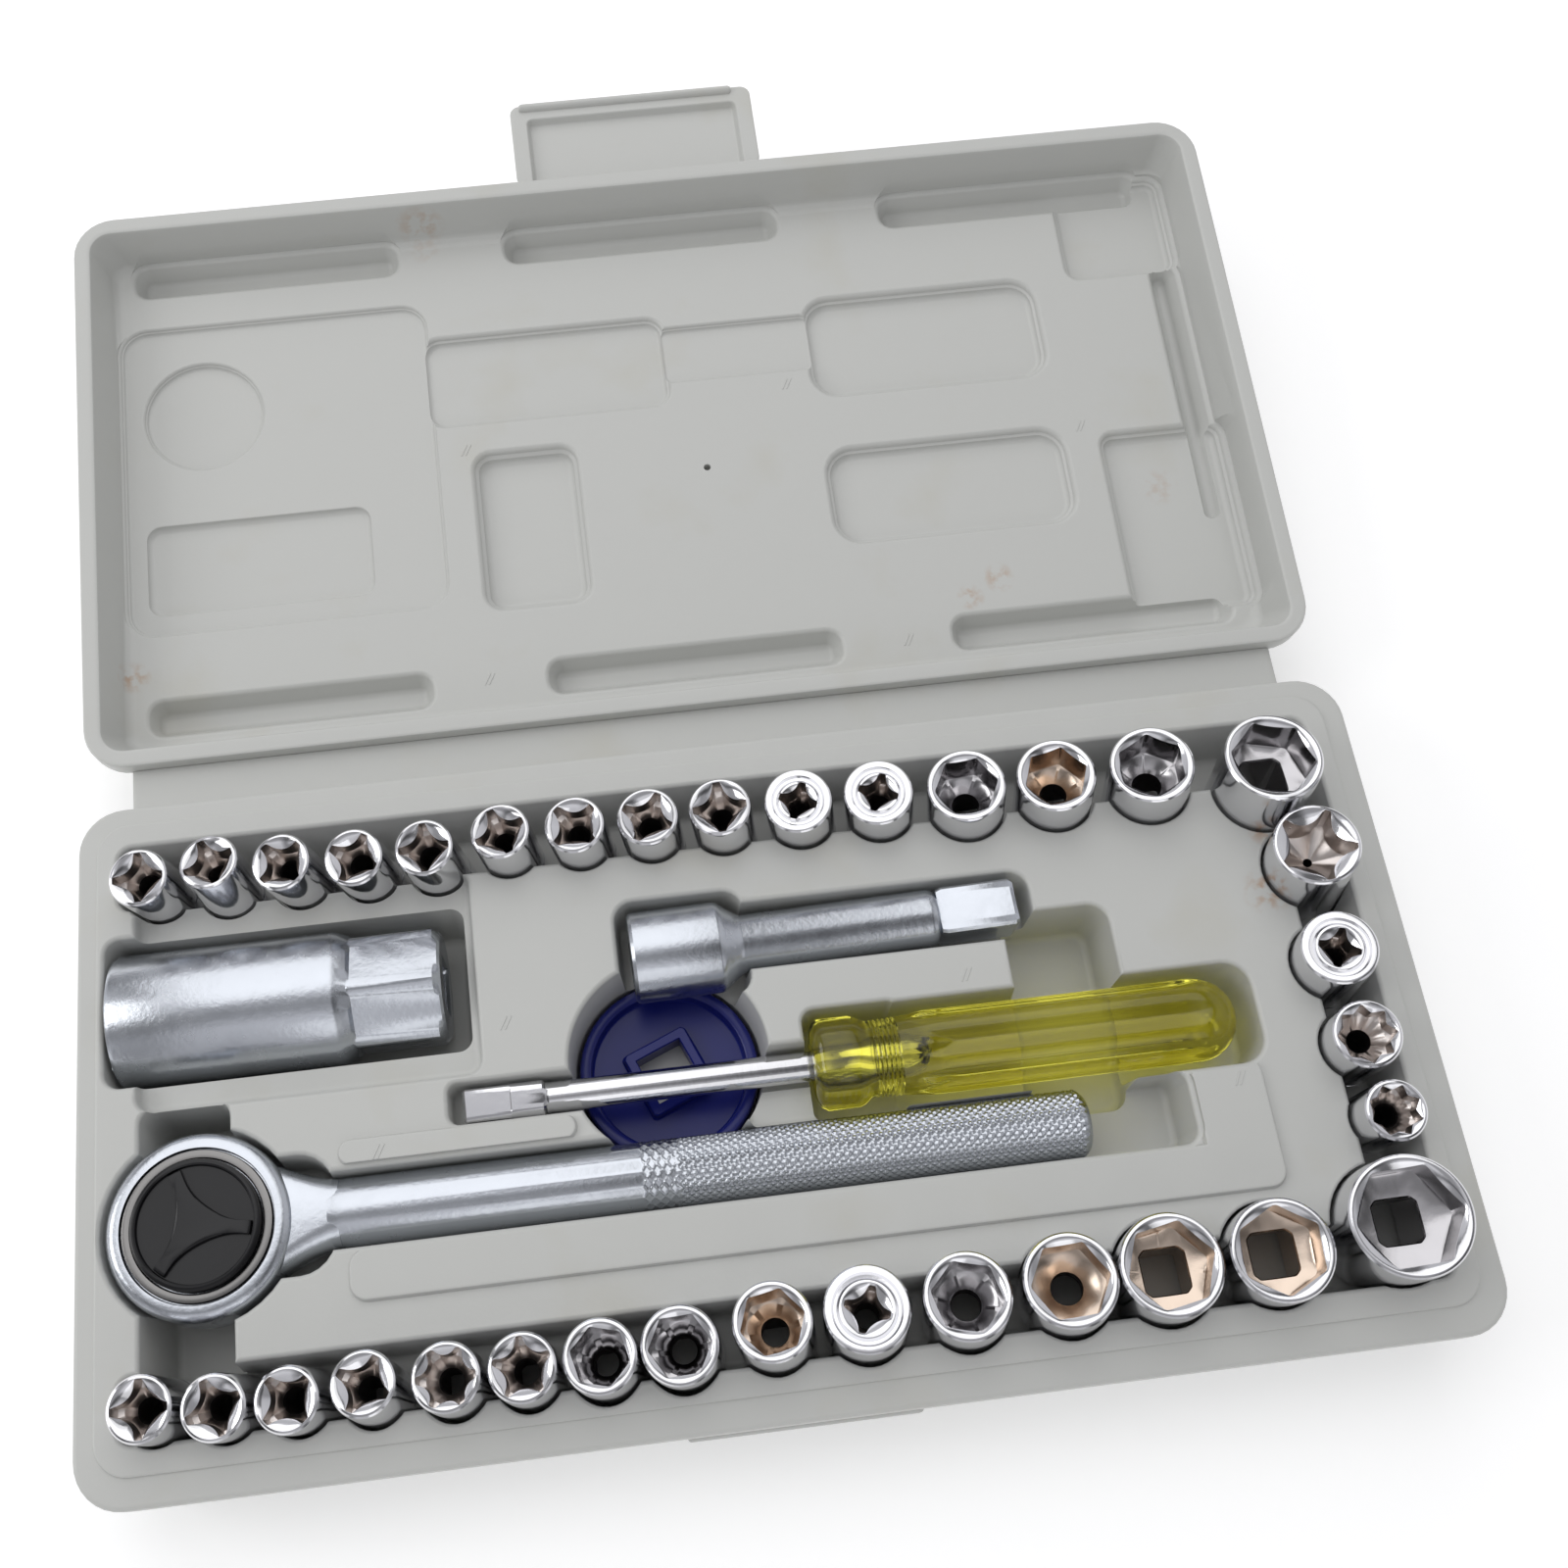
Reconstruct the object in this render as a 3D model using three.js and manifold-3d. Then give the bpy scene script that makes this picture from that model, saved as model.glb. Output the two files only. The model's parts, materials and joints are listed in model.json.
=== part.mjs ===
// A socket wrench set in a blow-moulded case, lying open: the tray half with its tools, the folding
// spine, the lid half with its recesses, and the latch flap. Millimetres, +Z up. The origin is the
// centre of the tray's underside, +X runs along the case and +Y points from the tray to the lid.
import * as THREE from "three";
import { mergeVertices } from "three/addons/utils/BufferGeometryUtils.js";
import Module from "manifold-3d";

const wasm = await Module();
wasm.setup();

// ---------------------------------------------------------------- driving dimensions

const CASE_LENGTH = 260;
const CASE_WIDTH = 132;
const CORNER_RADIUS = 9;
const WALL = 1.5;
const RIM_Z = 24;
const PLATEAU_Z = RIM_Z + 0.8;
const RIDGE_Z = PLATEAU_Z + 1.2;
const PLATEAU_INSET = 3.8;
const CHANNEL_FLOOR_Z = 7.7;
const LID_HEIGHT = 19;
const LID_RIM = 3.3;
const LID_FLOOR = -11;
const GAP = 0.3;

// The spine folds along two lines below the rims, and the stiff plastic holds the lid 5 degrees up.
const TRAY_FOLD_DROP = 6.5;
const LID_FOLD_DROP = 3.5;
const CLOSED_RIM_GAP = 0.15;
const SPINE_WIDTH = TRAY_FOLD_DROP + LID_FOLD_DROP + CLOSED_RIM_GAP;
const SPINE_LENGTH = 242;
const SPINE_THICKNESS = 1.4;
const REST_LIFT_DEG = 5;

const LATCH_WIDTH = 57;
const LATCH_REACH = 22;
const LATCH_THICKNESS = 3;
const LATCH_DROP = 2.2;

const SOCKET_LENGTH = 25;
const TALL_SOCKET_LENGTH = 27.5;
const QUARTER_DRIVE = 6.5;
const THREE_EIGHTHS_DRIVE = 9.6;

const RATCHET_X = -107;
const RATCHET_Y = -19;
const RATCHET_Z = 19;
const HEAD_RADIUS = 17.2;
const GRIP_RADIUS = 6.5;
const GRIP_END_X = 60.5;

const PLUG_SOCKET = { x: -123.5, y: 23.4, z: 16.4, length: 64, radius: 13.2, flats: 23.6 };
const EXTENSION = { x: -22.5, y: 23.4, z: 20.5, length: 77, radius: 5.75, headRadius: 9, turn: 1.2 };
const SPINNER = { x: -57.3, y: -2, z: 20, shaftRadius: 3, collarRadius: 9, gripRadius: 8.25 };
const WHEEL = { x: -17.4, y: 2.2, z: 5.5, radius: 17.7, height: 7, turn: 22 };

// Each socket: place of its axis at tray level, diameter, hole across flats, points of the hole,
// degrees it leans to the left and to the back, and the way it is finished.
const SOCKETS = [
  // back row, from the left
  [-114.7, 47.8, 11.7, 6.5, 4, 6, -3], [-101.1, 47.9, 11.7, 6.5, 4, 6, 7],
  [-86.9, 47.5, 11.7, 6.5, 4, 8, -2], [-73.1, 47.1, 11.7, 6.5, 4, 6, -4],
  [-59.4, 47.1, 11.7, 6.8, 4, 6, -1], [-44.4, 48.1, 11.8, 6.8, 5, 6, 3],
  [-29.8, 48, 12, 7, 5, 6, 1], [-15.5, 48, 12.2, 7, 5, 5, 1],
  [-1, 48, 12.4, 7.2, 5, 6, 3], [14.7, 48, 13.5, 6, 4, 7, -1],
  [30.7, 47.7, 13.8, 6, 4, 7, 0], [48.3, 46.6, 15.6, 11, 6, 7, 3],
  [66.4, 46.6, 15.7, 11, 6, 7, 3], [85.8, 46.4, 16.7, 12, 6, 7, 4],
  // right column, from the back
  [108.6, 43.4, 19.4, 14.5, 6, 2, 7, "tall"], [113.4, 25.2, 16.8, 12, 5, 7, 3, "tall"],
  [113, 5.4, 14.8, 6, 4, 6, 2], [113.7, -11.3, 13.1, 9.4, 8, 5, 0],
  [115, -25.6, 11.6, 8, 8, 4, -2], [111.8, -45, 22.2, 17, 6, 6, -1, "tall"],
  // front row, from the left
  [-115.3, -50.2, 11.8, 6.5, 4, 3, 0], [-102.7, -51.2, 11.7, 6.5, 4, 2, -2],
  [-89.8, -51.6, 11.7, 6.8, 4, 4, -1], [-76.5, -51.6, 11.8, 6.8, 4, 4, 6],
  [-62.3, -51.8, 12.4, 7.2, 4, 3, 3], [-49, -51.8, 12.4, 7.6, 5, 3, 3],
  [-35.2, -51.6, 13.4, 8.4, 5, 4, 3], [-21.1, -51.2, 14.1, 9, 5, 4, 1],
  [-4.3, -50, 14.5, 10, 6, 5, 6], [12.5, -49.6, 15.8, 6.5, 4, 4, 4],
  [30.8, -49.6, 16, 11.5, 6, 6, 4], [49.6, -49, 17.1, 12.5, 6, 7, 3],
  [67.9, -48.4, 18.7, 14, 6, 6, 2], [88.3, -47.8, 18.6, 14, 6, 7, -1],
];

// ---------------------------------------------------------------- materials

const GREY = { color: 0xc9cac6, roughness: 0.5, metalness: 0 };
const CHROME = { color: 0xd8d8da, roughness: 0.12, metalness: 1 };
const ZINC = { color: 0xb9bec4, roughness: 0.35, metalness: 1 };
const BLACK = { color: 0x17181a, roughness: 0.4, metalness: 0 };
const RUBBER = { color: 0x101010, roughness: 0.8, metalness: 0 };
const BLUE = { color: 0x1b1d78, roughness: 0.3, metalness: 0 };
const AMBER = { color: 0xb9aa1c, roughness: 0.1, metalness: 0 };

const set = new THREE.Group();

function place(parent, name, geometry, finish) {
  const mesh = new THREE.Mesh(geometry, new THREE.MeshStandardMaterial(finish));
  mesh.name = name;
  parent.add(mesh);
  return mesh;
}

// ---------------------------------------------------------------- solid helpers

function toSolid(geometry) {
  const bare = geometry.clone();
  bare.deleteAttribute("normal");
  bare.deleteAttribute("uv");
  const merged = mergeVertices(bare, 1e-4);
  const vertProperties = new Float32Array(merged.attributes.position.array);
  const triVerts = new Uint32Array(merged.index.array);
  return new wasm.Manifold(new wasm.Mesh({ numProp: 3, vertProperties, triVerts }));
}

function toGeometry(solid) {
  const mesh = solid.getMesh();
  const geometry = new THREE.BufferGeometry();
  geometry.setAttribute("position", new THREE.BufferAttribute(mesh.vertProperties, 3));
  geometry.setIndex(new THREE.BufferAttribute(mesh.triVerts, 1));
  geometry.computeVertexNormals();
  return geometry;
}

function join(solids) {
  return solids.reduce((all, one) => all.add(one));
}

// A body whose sections are all closed loops of the same number of points, listed from the bottom up.
function loft(sections) {
  const count = sections[0].length;
  const positions = sections.flat().flatMap((p) => [p.x, p.y, p.z]);
  const index = [];
  for (let s = 0; s + 1 < sections.length; s += 1) {
    for (let i = 0; i < count; i += 1) {
      const next = (i + 1) % count;
      const low = s * count;
      const high = low + count;
      index.push(low + i, low + next, high + next, low + i, high + next, high + i);
    }
  }
  const top = (sections.length - 1) * count;
  for (let i = 1; i + 1 < count; i += 1) {
    index.push(0, i + 1, i, top, top + i, top + i + 1);
  }
  const geometry = new THREE.BufferGeometry();
  geometry.setAttribute("position", new THREE.Float32BufferAttribute(positions, 3));
  geometry.setIndex(index);
  return geometry;
}

// A rectangle with round corners at height z, counter-clockwise from above.
function roundedLoop(x0, x1, y0, y1, radius, z, cornerSteps = 4) {
  const r = Math.max(0.2, Math.min(radius, (x1 - x0) / 2 - 0.05, (y1 - y0) / 2 - 0.05));
  const centres = [[x1 - r, y1 - r], [x0 + r, y1 - r], [x0 + r, y0 + r], [x1 - r, y0 + r]];
  const points = [];
  centres.forEach(([cx, cy], quarter) => {
    for (let i = 0; i <= cornerSteps; i += 1) {
      const angle = ((quarter + i / cornerSteps) * Math.PI) / 2;
      points.push(new THREE.Vector3(cx + r * Math.cos(angle), cy + r * Math.sin(angle), z));
    }
  });
  return points;
}

// The case's outline, pulled in by an inset, at each of the given [height, inset] pairs.
function caseBody(levels) {
  return toSolid(loft(levels.map(([z, inset]) => {
    const halfX = CASE_LENGTH / 2 - inset;
    const halfY = CASE_WIDTH / 2 - inset;
    return roundedLoop(-halfX, halfX, -halfY, halfY, CORNER_RADIUS - inset * 0.6, z, 5);
  })));
}

// A pocket pressed into a face at height open, with drafted walls. Grown by the wall's thickness, the
// same pocket clears the hollow between the two skins of the moulding.
function pocket([x0, x1, y0, y1, floor, radius = 3], open, grow = 0, through = -1) {
  const draft = Math.min(0.8, (open - floor) * 0.06);
  const bottom = grow && floor - grow < through + grow + 1 ? through - 1 : floor - grow;
  const low = roundedLoop(
    x0 + draft - grow, x1 - draft + grow, y0 + draft - grow, y1 - draft + grow, radius, bottom, 3);
  const high = roundedLoop(x0 - grow, x1 + grow, y0 - grow, y1 + grow, radius, open + 4, 3);
  return toSolid(loft([low, high]));
}

// A block standing on the tray's top skin.
function ridge([x0, x1, y0, y1], top, radius = 3) {
  return toSolid(loft([
    roundedLoop(x0, x1, y0, y1, radius, RIM_Z - 2, 3),
    roundedLoop(x0 + 0.5, x1 - 0.5, y0 + 0.5, y1 - 0.5, radius, top, 3),
  ]));
}

function upright(radius, z0, z1, x = 0, y = 0, sides = 24) {
  const geometry = new THREE.CylinderGeometry(radius, radius, z1 - z0, sides);
  geometry.rotateX(Math.PI / 2);
  geometry.translate(x, y, (z0 + z1) / 2);
  return toSolid(geometry);
}

// A body of revolution about +Z from [radius, height] pairs that start and end on the axis.
function turned(profile, sides = 24) {
  const points = profile.map(([r, z]) => new THREE.Vector2(r, z));
  const geometry = new THREE.LatheGeometry(points, sides);
  geometry.rotateX(Math.PI / 2);
  return geometry;
}

// The same about an axis lying along +X.
function turnedAlong(profile, sides = 20) {
  const geometry = turned(profile, sides);
  geometry.rotateY(Math.PI / 2);
  return geometry;
}

// A straight prism with n flat sides, across-flats size and height, its axis on +Z.
function prism(flats, sides, z0, z1, turn = 0) {
  const radius = flats / 2 / Math.cos(Math.PI / sides);
  const geometry = new THREE.CylinderGeometry(radius, radius, z1 - z0, sides);
  geometry.rotateX(Math.PI / 2);
  geometry.rotateZ(Math.PI / sides + turn);
  geometry.translate(0, 0, (z0 + z1) / 2);
  return geometry;
}

function prismAlong(flats, sides, x0, x1, turn = 0) {
  const geometry = prism(flats, sides, x0, x1, turn);
  geometry.rotateY(Math.PI / 2);
  return toSolid(geometry);
}

// A coil spring along +Y from y0 to y1.
class Helix extends THREE.Curve {
  constructor(radius, y0, y1, turns) {
    super();
    Object.assign(this, { radius, y0, y1, turns });
  }

  getPoint(t) {
    const angle = t * this.turns * 2 * Math.PI;
    const y = this.y0 + t * (this.y1 - this.y0);
    return new THREE.Vector3(this.radius * Math.cos(angle), y, this.radius * Math.sin(angle));
  }
}

function spring(radius, y0, y1, turns, wire) {
  const section = new THREE.Shape();
  for (let i = 0; i < 5; i += 1) {
    const angle = (i * 2 * Math.PI) / 5;
    section[i ? "lineTo" : "moveTo"](wire * Math.cos(angle), wire * Math.sin(angle));
  }
  section.closePath();
  const path = new Helix(radius, y0, y1, turns);
  return new THREE.ExtrudeGeometry(section, { steps: turns * 7, extrudePath: path });
}

// ---------------------------------------------------------------- socket places

// A socket stands with its bottom rim on the channel's floor and leans with its axis through the
// stated place at tray level.
function socketFrame([x, y, diameter, , , left, back, kind]) {
  const slopeX = -Math.tan(THREE.MathUtils.degToRad(left));
  const slopeY = Math.tan(THREE.MathUtils.degToRad(back));
  const axis = new THREE.Vector3(slopeX, slopeY, 1).normalize();
  const tilt = Math.acos(axis.z);
  const foot = CHANNEL_FLOOR_Z + GAP + (diameter / 2) * Math.sin(tilt);
  const down = foot - PLATEAU_Z;
  const base = new THREE.Vector3(x + slopeX * down, y + slopeY * down, foot);
  const turn = new THREE.Quaternion().setFromUnitVectors(new THREE.Vector3(0, 0, 1), axis);
  const length = kind === "tall" ? TALL_SOCKET_LENGTH : SOCKET_LENGTH;
  return { base, turn, axis, length };
}

function socketSolid([, , diameter, flats, points, , , kind]) {
  const length = kind === "tall" ? TALL_SOCKET_LENGTH : SOCKET_LENGTH;
  const r = diameter / 2;
  const big = diameter > 15;
  const drive = big ? THREE_EIGHTHS_DRIVE : QUARTER_DRIVE;
  const outside = [[0, 0], [r - 0.5, 0], [r, 0.6], [r, length - 0.9], [r - 0.7, length], [0, length]];
  const sides = points === 4 ? 4 : points === 8 ? 8 : 6;
  const mouth = prism(flats, sides, length - 10, length + 1);
  const through = upright(Math.min(drive, flats) * 0.4, 1, length - 1, 0, 0, 10);
  const square = prism(drive, 4, -1, 9);
  return toSolid(turned(outside, big ? 20 : 16))
    .subtract(toSolid(mouth))
    .subtract(through)
    .subtract(toSolid(square));
}

// ---------------------------------------------------------------- tray half

// Pockets of the tray: x from, x to, y from, y to, floor height, corner radius.
const TRAY_POCKETS = [
  [-122, 121, 44, 54.5, CHANNEL_FLOOR_Z], // back row channel
  [107.5, 121.5, -52, 52, CHANNEL_FLOOR_Z], // right column channel
  [-122, 121, -57, -45.5, CHANNEL_FLOOR_Z], // front row channel
  [-118.5, -53, 3.4, 44.5, 19], // shelf round the plug socket
  [-124.6, -54.5, 8.6, 38.2, 2.9], // plug socket trough
  [-118, -101, -46, 4, 2.2], // finger trench passing below the ratchet head
  [-100, -80, -31, -7, 11.7], // ratchet neck
  [-92, 80, RATCHET_Y - 7.1, RATCHET_Y + 7.1, 12.1], // ratchet grip
  [-25, 0.5, 12.8, 34, 11.1, 4], // extension head
  [-6, 57.5, 17.6, 31.2, 14.3, 4], // extension shank
  [-60, 12, -6, 2, 16.5, 2], // spinner shaft
  [8.8, 28, -13, 8, 10.4, 2.5], // spinner collar
  [20, 96.7, -12.2, 7.6, 10.6, 5], // spinner grip
  [51, 72, -17, 22.5, 8, 4], // finger recess
  [-4, 27, -12.6, -5, 17, 2], // lowered land beside the spinner collar
];

const TRAY_RIDGES = [
  [-80, 94.5, -36.2, RATCHET_Y - 7.5],
  [80.3, 94.5, -36.2, -11.8],
  [-81, -36, RATCHET_Y + 7.5, -6.4],
];

function trayCutters(grow) {
  const cutters = TRAY_POCKETS.map((p) => pocket(p, PLATEAU_Z, grow, 0));
  const clear = 0.5 + grow;
  for (const spec of SOCKETS) {
    const { base, turn, axis } = socketFrame(spec);
    const hole = new THREE.CylinderGeometry(spec[2] / 2 + clear, spec[2] / 2 + clear, 60, 16);
    hole.rotateX(Math.PI / 2);
    hole.applyQuaternion(turn);
    hole.translate(base.x + axis.x * 20, base.y + axis.y * 20, base.z + axis.z * 20);
    const above = new THREE.BoxGeometry(80, 80, 60);
    above.translate(base.x, base.y, CHANNEL_FLOOR_Z - grow + 30);
    cutters.push(toSolid(hole).intersect(toSolid(above)));
  }
  const headZ = RATCHET_Z - 7.3;
  cutters.push(upright(8 + grow, Math.max(2.2 - grow, -1), 40, RATCHET_X, RATCHET_Y, 20));
  cutters.push(upright(HEAD_RADIUS + 0.8 + grow, headZ - grow, 40, RATCHET_X, RATCHET_Y, 32));
  cutters.push(upright(WHEEL.radius + 0.9 + grow, 5.2 - grow, 40, WHEEL.x, WHEEL.y, 32));
  return join(cutters);
}

const BLOW_HOLE = { x: 108, y: -20, radius: 1.5 };

function trayHalf() {
  const outside = caseBody([[0, 5], [2.5, 2.6], [14, 1], [16, 0], [RIM_Z, 0]]);
  const plateau = caseBody([
    [RIM_Z - 1, PLATEAU_INSET], [PLATEAU_Z - 0.3, PLATEAU_INSET], [PLATEAU_Z, PLATEAU_INSET + 0.4],
  ]);
  const ridges = TRAY_RIDGES.map((r) => ridge(r, RIDGE_Z));
  const catchBar = toSolid(new THREE.BoxGeometry(LATCH_WIDTH - 13, 4, 3.5)
    .translate(0, -CASE_WIDTH / 2 + 1.1, 10.2));
  const hollow = caseBody([
    [WALL, 5.6], [WALL + 2, 4.4], [14, 3], [16, WALL + 0.5], [PLATEAU_Z - WALL, WALL + 0.5],
  ]).subtract(trayCutters(WALL));
  const blowHole = upright(BLOW_HOLE.radius, -1, 4, BLOW_HOLE.x, BLOW_HOLE.y, 10);
  return join([outside, plateau, ...ridges, catchBar])
    .subtract(trayCutters(0))
    .subtract(hollow)
    .subtract(blowHole);
}

place(set, "tray_half", toGeometry(trayHalf()), GREY);

// ---------------------------------------------------------------- spine, lid half and latch

const rest = THREE.MathUtils.degToRad(REST_LIFT_DEG);
const foldY = CASE_WIDTH / 2 + GAP;
const trayFold = new THREE.Vector3(0, foldY, RIM_Z - TRAY_FOLD_DROP);
const spineGroup = new THREE.Group();
spineGroup.position.copy(trayFold);
spineGroup.rotation.x = rest / 2;
set.add(spineGroup);

function spine() {
  const strip = loft([
    roundedLoop(-SPINE_LENGTH / 2, SPINE_LENGTH / 2, 0.1, SPINE_WIDTH - 0.1, 1, -SPINE_THICKNESS),
    roundedLoop(-SPINE_LENGTH / 2, SPINE_LENGTH / 2, 0.1, SPINE_WIDTH - 0.1, 1, 0),
  ]);
  const rib = new THREE.BoxGeometry(SPINE_LENGTH - 20, 1.2, 1.2);
  rib.translate(0, SPINE_WIDTH / 2, -SPINE_THICKNESS - 0.4);
  return toSolid(strip).add(toSolid(rib));
}

place(spineGroup, "spine", toGeometry(spine()), GREY);

const lidFold = new THREE.Vector3(0, SPINE_WIDTH, 0)
  .applyAxisAngle(new THREE.Vector3(1, 0, 0), rest / 2)
  .add(trayFold);
const lidGroup = new THREE.Group();
lidGroup.rotation.x = rest;
lidGroup.position.copy(new THREE.Vector3(0, GAP + CASE_WIDTH / 2, LID_FOLD_DROP)
  .applyAxisAngle(new THREE.Vector3(1, 0, 0), rest)
  .add(lidFold));
set.add(lidGroup);

// Recesses of the lid's inner floor, in the lid's own frame: rim at 0, hollow below.
const LID_POCKETS = [
  [-123.5, -53, -33, 43, -12.5, 6], // over the ratchet head and the plug socket
  [-119.5, -68.5, -28.5, -5.5, -14, 4],
  [-54.5, 1, 11, 33.5, -13.5, 4],
  [0, 35, 16.5, 30.5, -12.5, 2],
  [34, 88.5, 9, 34, -14, 6],
  [34, 88.5, -28, -5, -14, 6],
  [-45, -22, -35, 3, -15, 4],
  [97.5, 123.5, -50, -8, -13.5, 3], // over the tall sockets at the right
  [97.5, 123.5, 33, 58, -13.5, 3],
  [117, 122.5, -31, 34, -16, 2.5],
];
const SLOT_RUNS = [[-119, -58.5], [-33, 31], [56, 118]];
const SLOT_ROWS = [[52, 59.5], [-56, -48.5]];

function lidCutters(grow) {
  const slots = SLOT_ROWS.flatMap(([y0, y1]) => SLOT_RUNS.map(([x0, x1]) => [x0, x1, y0, y1, -16, 3]));
  const cutters = [...LID_POCKETS, ...slots].map((p) => pocket(p, LID_FLOOR, grow, -LID_HEIGHT));
  cutters.push(upright(13.4 + grow, -14 - grow, LID_FLOOR + 4, -105, 20.5, 28));
  return cutters;
}

function lidHalf() {
  const outside = caseBody([[-LID_HEIGHT, 5], [-LID_HEIGHT + 2.5, 2.6], [-6.5, 0.7], [-5, 0], [0, 0]]);
  const inside = caseBody([[LID_FLOOR, LID_RIM + 2.6], [LID_FLOOR + 2, LID_RIM + 1.6], [2, LID_RIM]]);
  const low = -LID_HEIGHT + WALL;
  const hollow = caseBody([[low, 6.5], [low + 1.5, 5], [LID_FLOOR - WALL, 5]]);
  const blowHole = upright(1, LID_FLOOR - 4, LID_FLOOR + 4, 7.1, -6, 10);
  return outside
    .subtract(inside)
    .subtract(join(lidCutters(0)))
    .subtract(hollow.subtract(join(lidCutters(WALL))))
    .subtract(blowHole);
}

place(lidGroup, "lid_half", toGeometry(lidHalf()), GREY);

const latchGroup = new THREE.Group();
latchGroup.position.set(0, CASE_WIDTH / 2 + GAP + 0.3, -LATCH_DROP);
lidGroup.add(latchGroup);

// The flap lies flat beyond the lid, its framed face up, with a hooked lip along its free edge.
function latchFlap() {
  const half = LATCH_WIDTH / 2;
  const face = -0.6;
  const plate = loft([
    roundedLoop(-half + 1, half - 1, 0.2, LATCH_REACH, 1.5, face - LATCH_THICKNESS),
    roundedLoop(-half, half, 0.2, LATCH_REACH, 1.5, face),
  ]);
  const window = loft([
    roundedLoop(-half + 4.5, half - 4.5, 2.4, LATCH_REACH - 4.4, 0.6, face - 1.6),
    roundedLoop(-half + 4, half - 4, 2, LATCH_REACH - 4, 0.6, face + 1),
  ]);
  const lip = new THREE.BoxGeometry(LATCH_WIDTH - 6, 1.6, 2);
  lip.translate(0, LATCH_REACH - 1, face + 0.4);
  return toSolid(plate).subtract(toSolid(window)).add(toSolid(lip));
}

place(latchGroup, "latch_flap", toGeometry(latchFlap()), GREY);

// ---------------------------------------------------------------- sockets

SOCKETS.forEach((spec, i) => {
  const { base, turn } = socketFrame(spec);
  const name = `socket_${String(i + 1).padStart(2, "0")}`;
  const mesh = place(set, name, toGeometry(socketSolid(spec)), CHROME);
  mesh.position.copy(base);
  mesh.quaternion.copy(turn);
});

// ---------------------------------------------------------------- ratchet

const ratchet = new THREE.Group();
ratchet.position.set(RATCHET_X, RATCHET_Y, RATCHET_Z);
set.add(ratchet);

const HEAD_HALF = 7;
const BORE_RADIUS = 14.2;
const GEAR_RADIUS = 10.4;

function ratchetBody() {
  const h = HEAD_HALF;
  const head = toSolid(turned([
    [0, -h], [HEAD_RADIUS - 1.5, -h], [HEAD_RADIUS, -h + 1.5], [HEAD_RADIUS, h - 1.5],
    [HEAD_RADIUS - 1.5, h], [0, h],
  ], 32));
  const neckShape = new THREE.Shape();
  neckShape.moveTo(2, -14);
  neckShape.quadraticCurveTo(13, -11, 24, -6);
  neckShape.lineTo(24, 6);
  neckShape.quadraticCurveTo(13, 11, 2, 14);
  neckShape.closePath();
  const neck = toSolid(new THREE.ExtrudeGeometry(neckShape, {
    depth: 10, bevelEnabled: true, bevelSize: 1, bevelThickness: 1, bevelSegments: 1, curveSegments: 5,
  }).translate(0, 0, -5));
  const end = GRIP_END_X - RATCHET_X;
  const r = GRIP_RADIUS;
  const grip = toSolid(turnedAlong([
    [0, 20], [r - 0.4, 20], [r, 24], [r, end - 0.8], [r - 0.8, end], [0, end],
  ]));
  const plateBore = upright(8.2, -h - 1, h, 0, 0, 24);
  const gearBore = upright(GEAR_RADIUS + 1.2, -4.7, h, 0, 0, 28);
  const capBore = upright(BORE_RADIUS, 3.3, h + 1, 0, 0, 32);
  const pawlRoom = toSolid(new THREE.BoxGeometry(10, 12, 8).translate(14, 0, -0.7));
  return join([head, neck, grip])
    .subtract(join([plateBore, gearBore, capBore, pawlRoom]));
}

place(ratchet, "ratchet_body", toGeometry(ratchetBody()), ZINC);

// The gear drives the square below the head: teeth, a lower journal and the square with its ball.
function driveGear() {
  const teeth = new THREE.Shape();
  const count = 24;
  for (let i = 0; i < count * 2; i += 1) {
    const radius = i % 2 ? GEAR_RADIUS - 1 : GEAR_RADIUS;
    const angle = (i * Math.PI) / count;
    teeth[i ? "lineTo" : "moveTo"](radius * Math.cos(angle), radius * Math.sin(angle));
  }
  teeth.closePath();
  const wheel = new THREE.ExtrudeGeometry(teeth, { depth: 7, bevelEnabled: false });
  wheel.translate(0, 0, -4.3);
  const journal = upright(7.9, -HEAD_HALF - 0.2, -4, 0, 0, 24);
  const square = toSolid(prism(THREE_EIGHTHS_DRIVE - 0.1, 4, -16.3, -7));
  const ballHole = toSolid(new THREE.CylinderGeometry(1.8, 1.8, 8, 10).translate(0, 2, -13));
  return join([toSolid(wheel), journal, square]).subtract(ballHole);
}

place(ratchet, "drive_gear", toGeometry(driveGear()), ZINC);
place(ratchet, "drive_ball", new THREE.SphereGeometry(1.6, 8, 6).translate(0, 3.9, -13), CHROME);
place(ratchet, "drive_ball_spring", spring(1.2, -1.6, 2, 3, 0.22).translate(0, 0, -13), ZINC);

function pawl() {
  const shape = new THREE.Shape();
  shape.moveTo(11.3, -3);
  shape.lineTo(12, -1.8);
  shape.lineTo(11.3, -0.6);
  shape.lineTo(12, 0.6);
  shape.lineTo(11.3, 1.8);
  shape.lineTo(11.8, 3);
  shape.lineTo(14.6, 3.4);
  shape.lineTo(14.6, -3.4);
  shape.closePath();
  return new THREE.ExtrudeGeometry(shape, { depth: 6, bevelEnabled: false }).translate(0, 0, -4);
}

place(ratchet, "pawl", pawl(), ZINC);
const pawlSpring = spring(1.1, 0, 3, 3, 0.22);
pawlSpring.rotateZ(-Math.PI / 2);
pawlSpring.translate(15.2, 0, -1);
place(ratchet, "pawl_spring", pawlSpring, ZINC);

// The retaining ring closes the head round the turning cap.
const ringOuter = BORE_RADIUS - GAP;
const ringProfile = [[12, 3.7], [ringOuter, 3.7], [ringOuter, 7], [12.4, 7.4], [12, 7], [12, 3.7]];
place(ratchet, "retaining_ring", turned(ringProfile, 32), ZINC);

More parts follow.
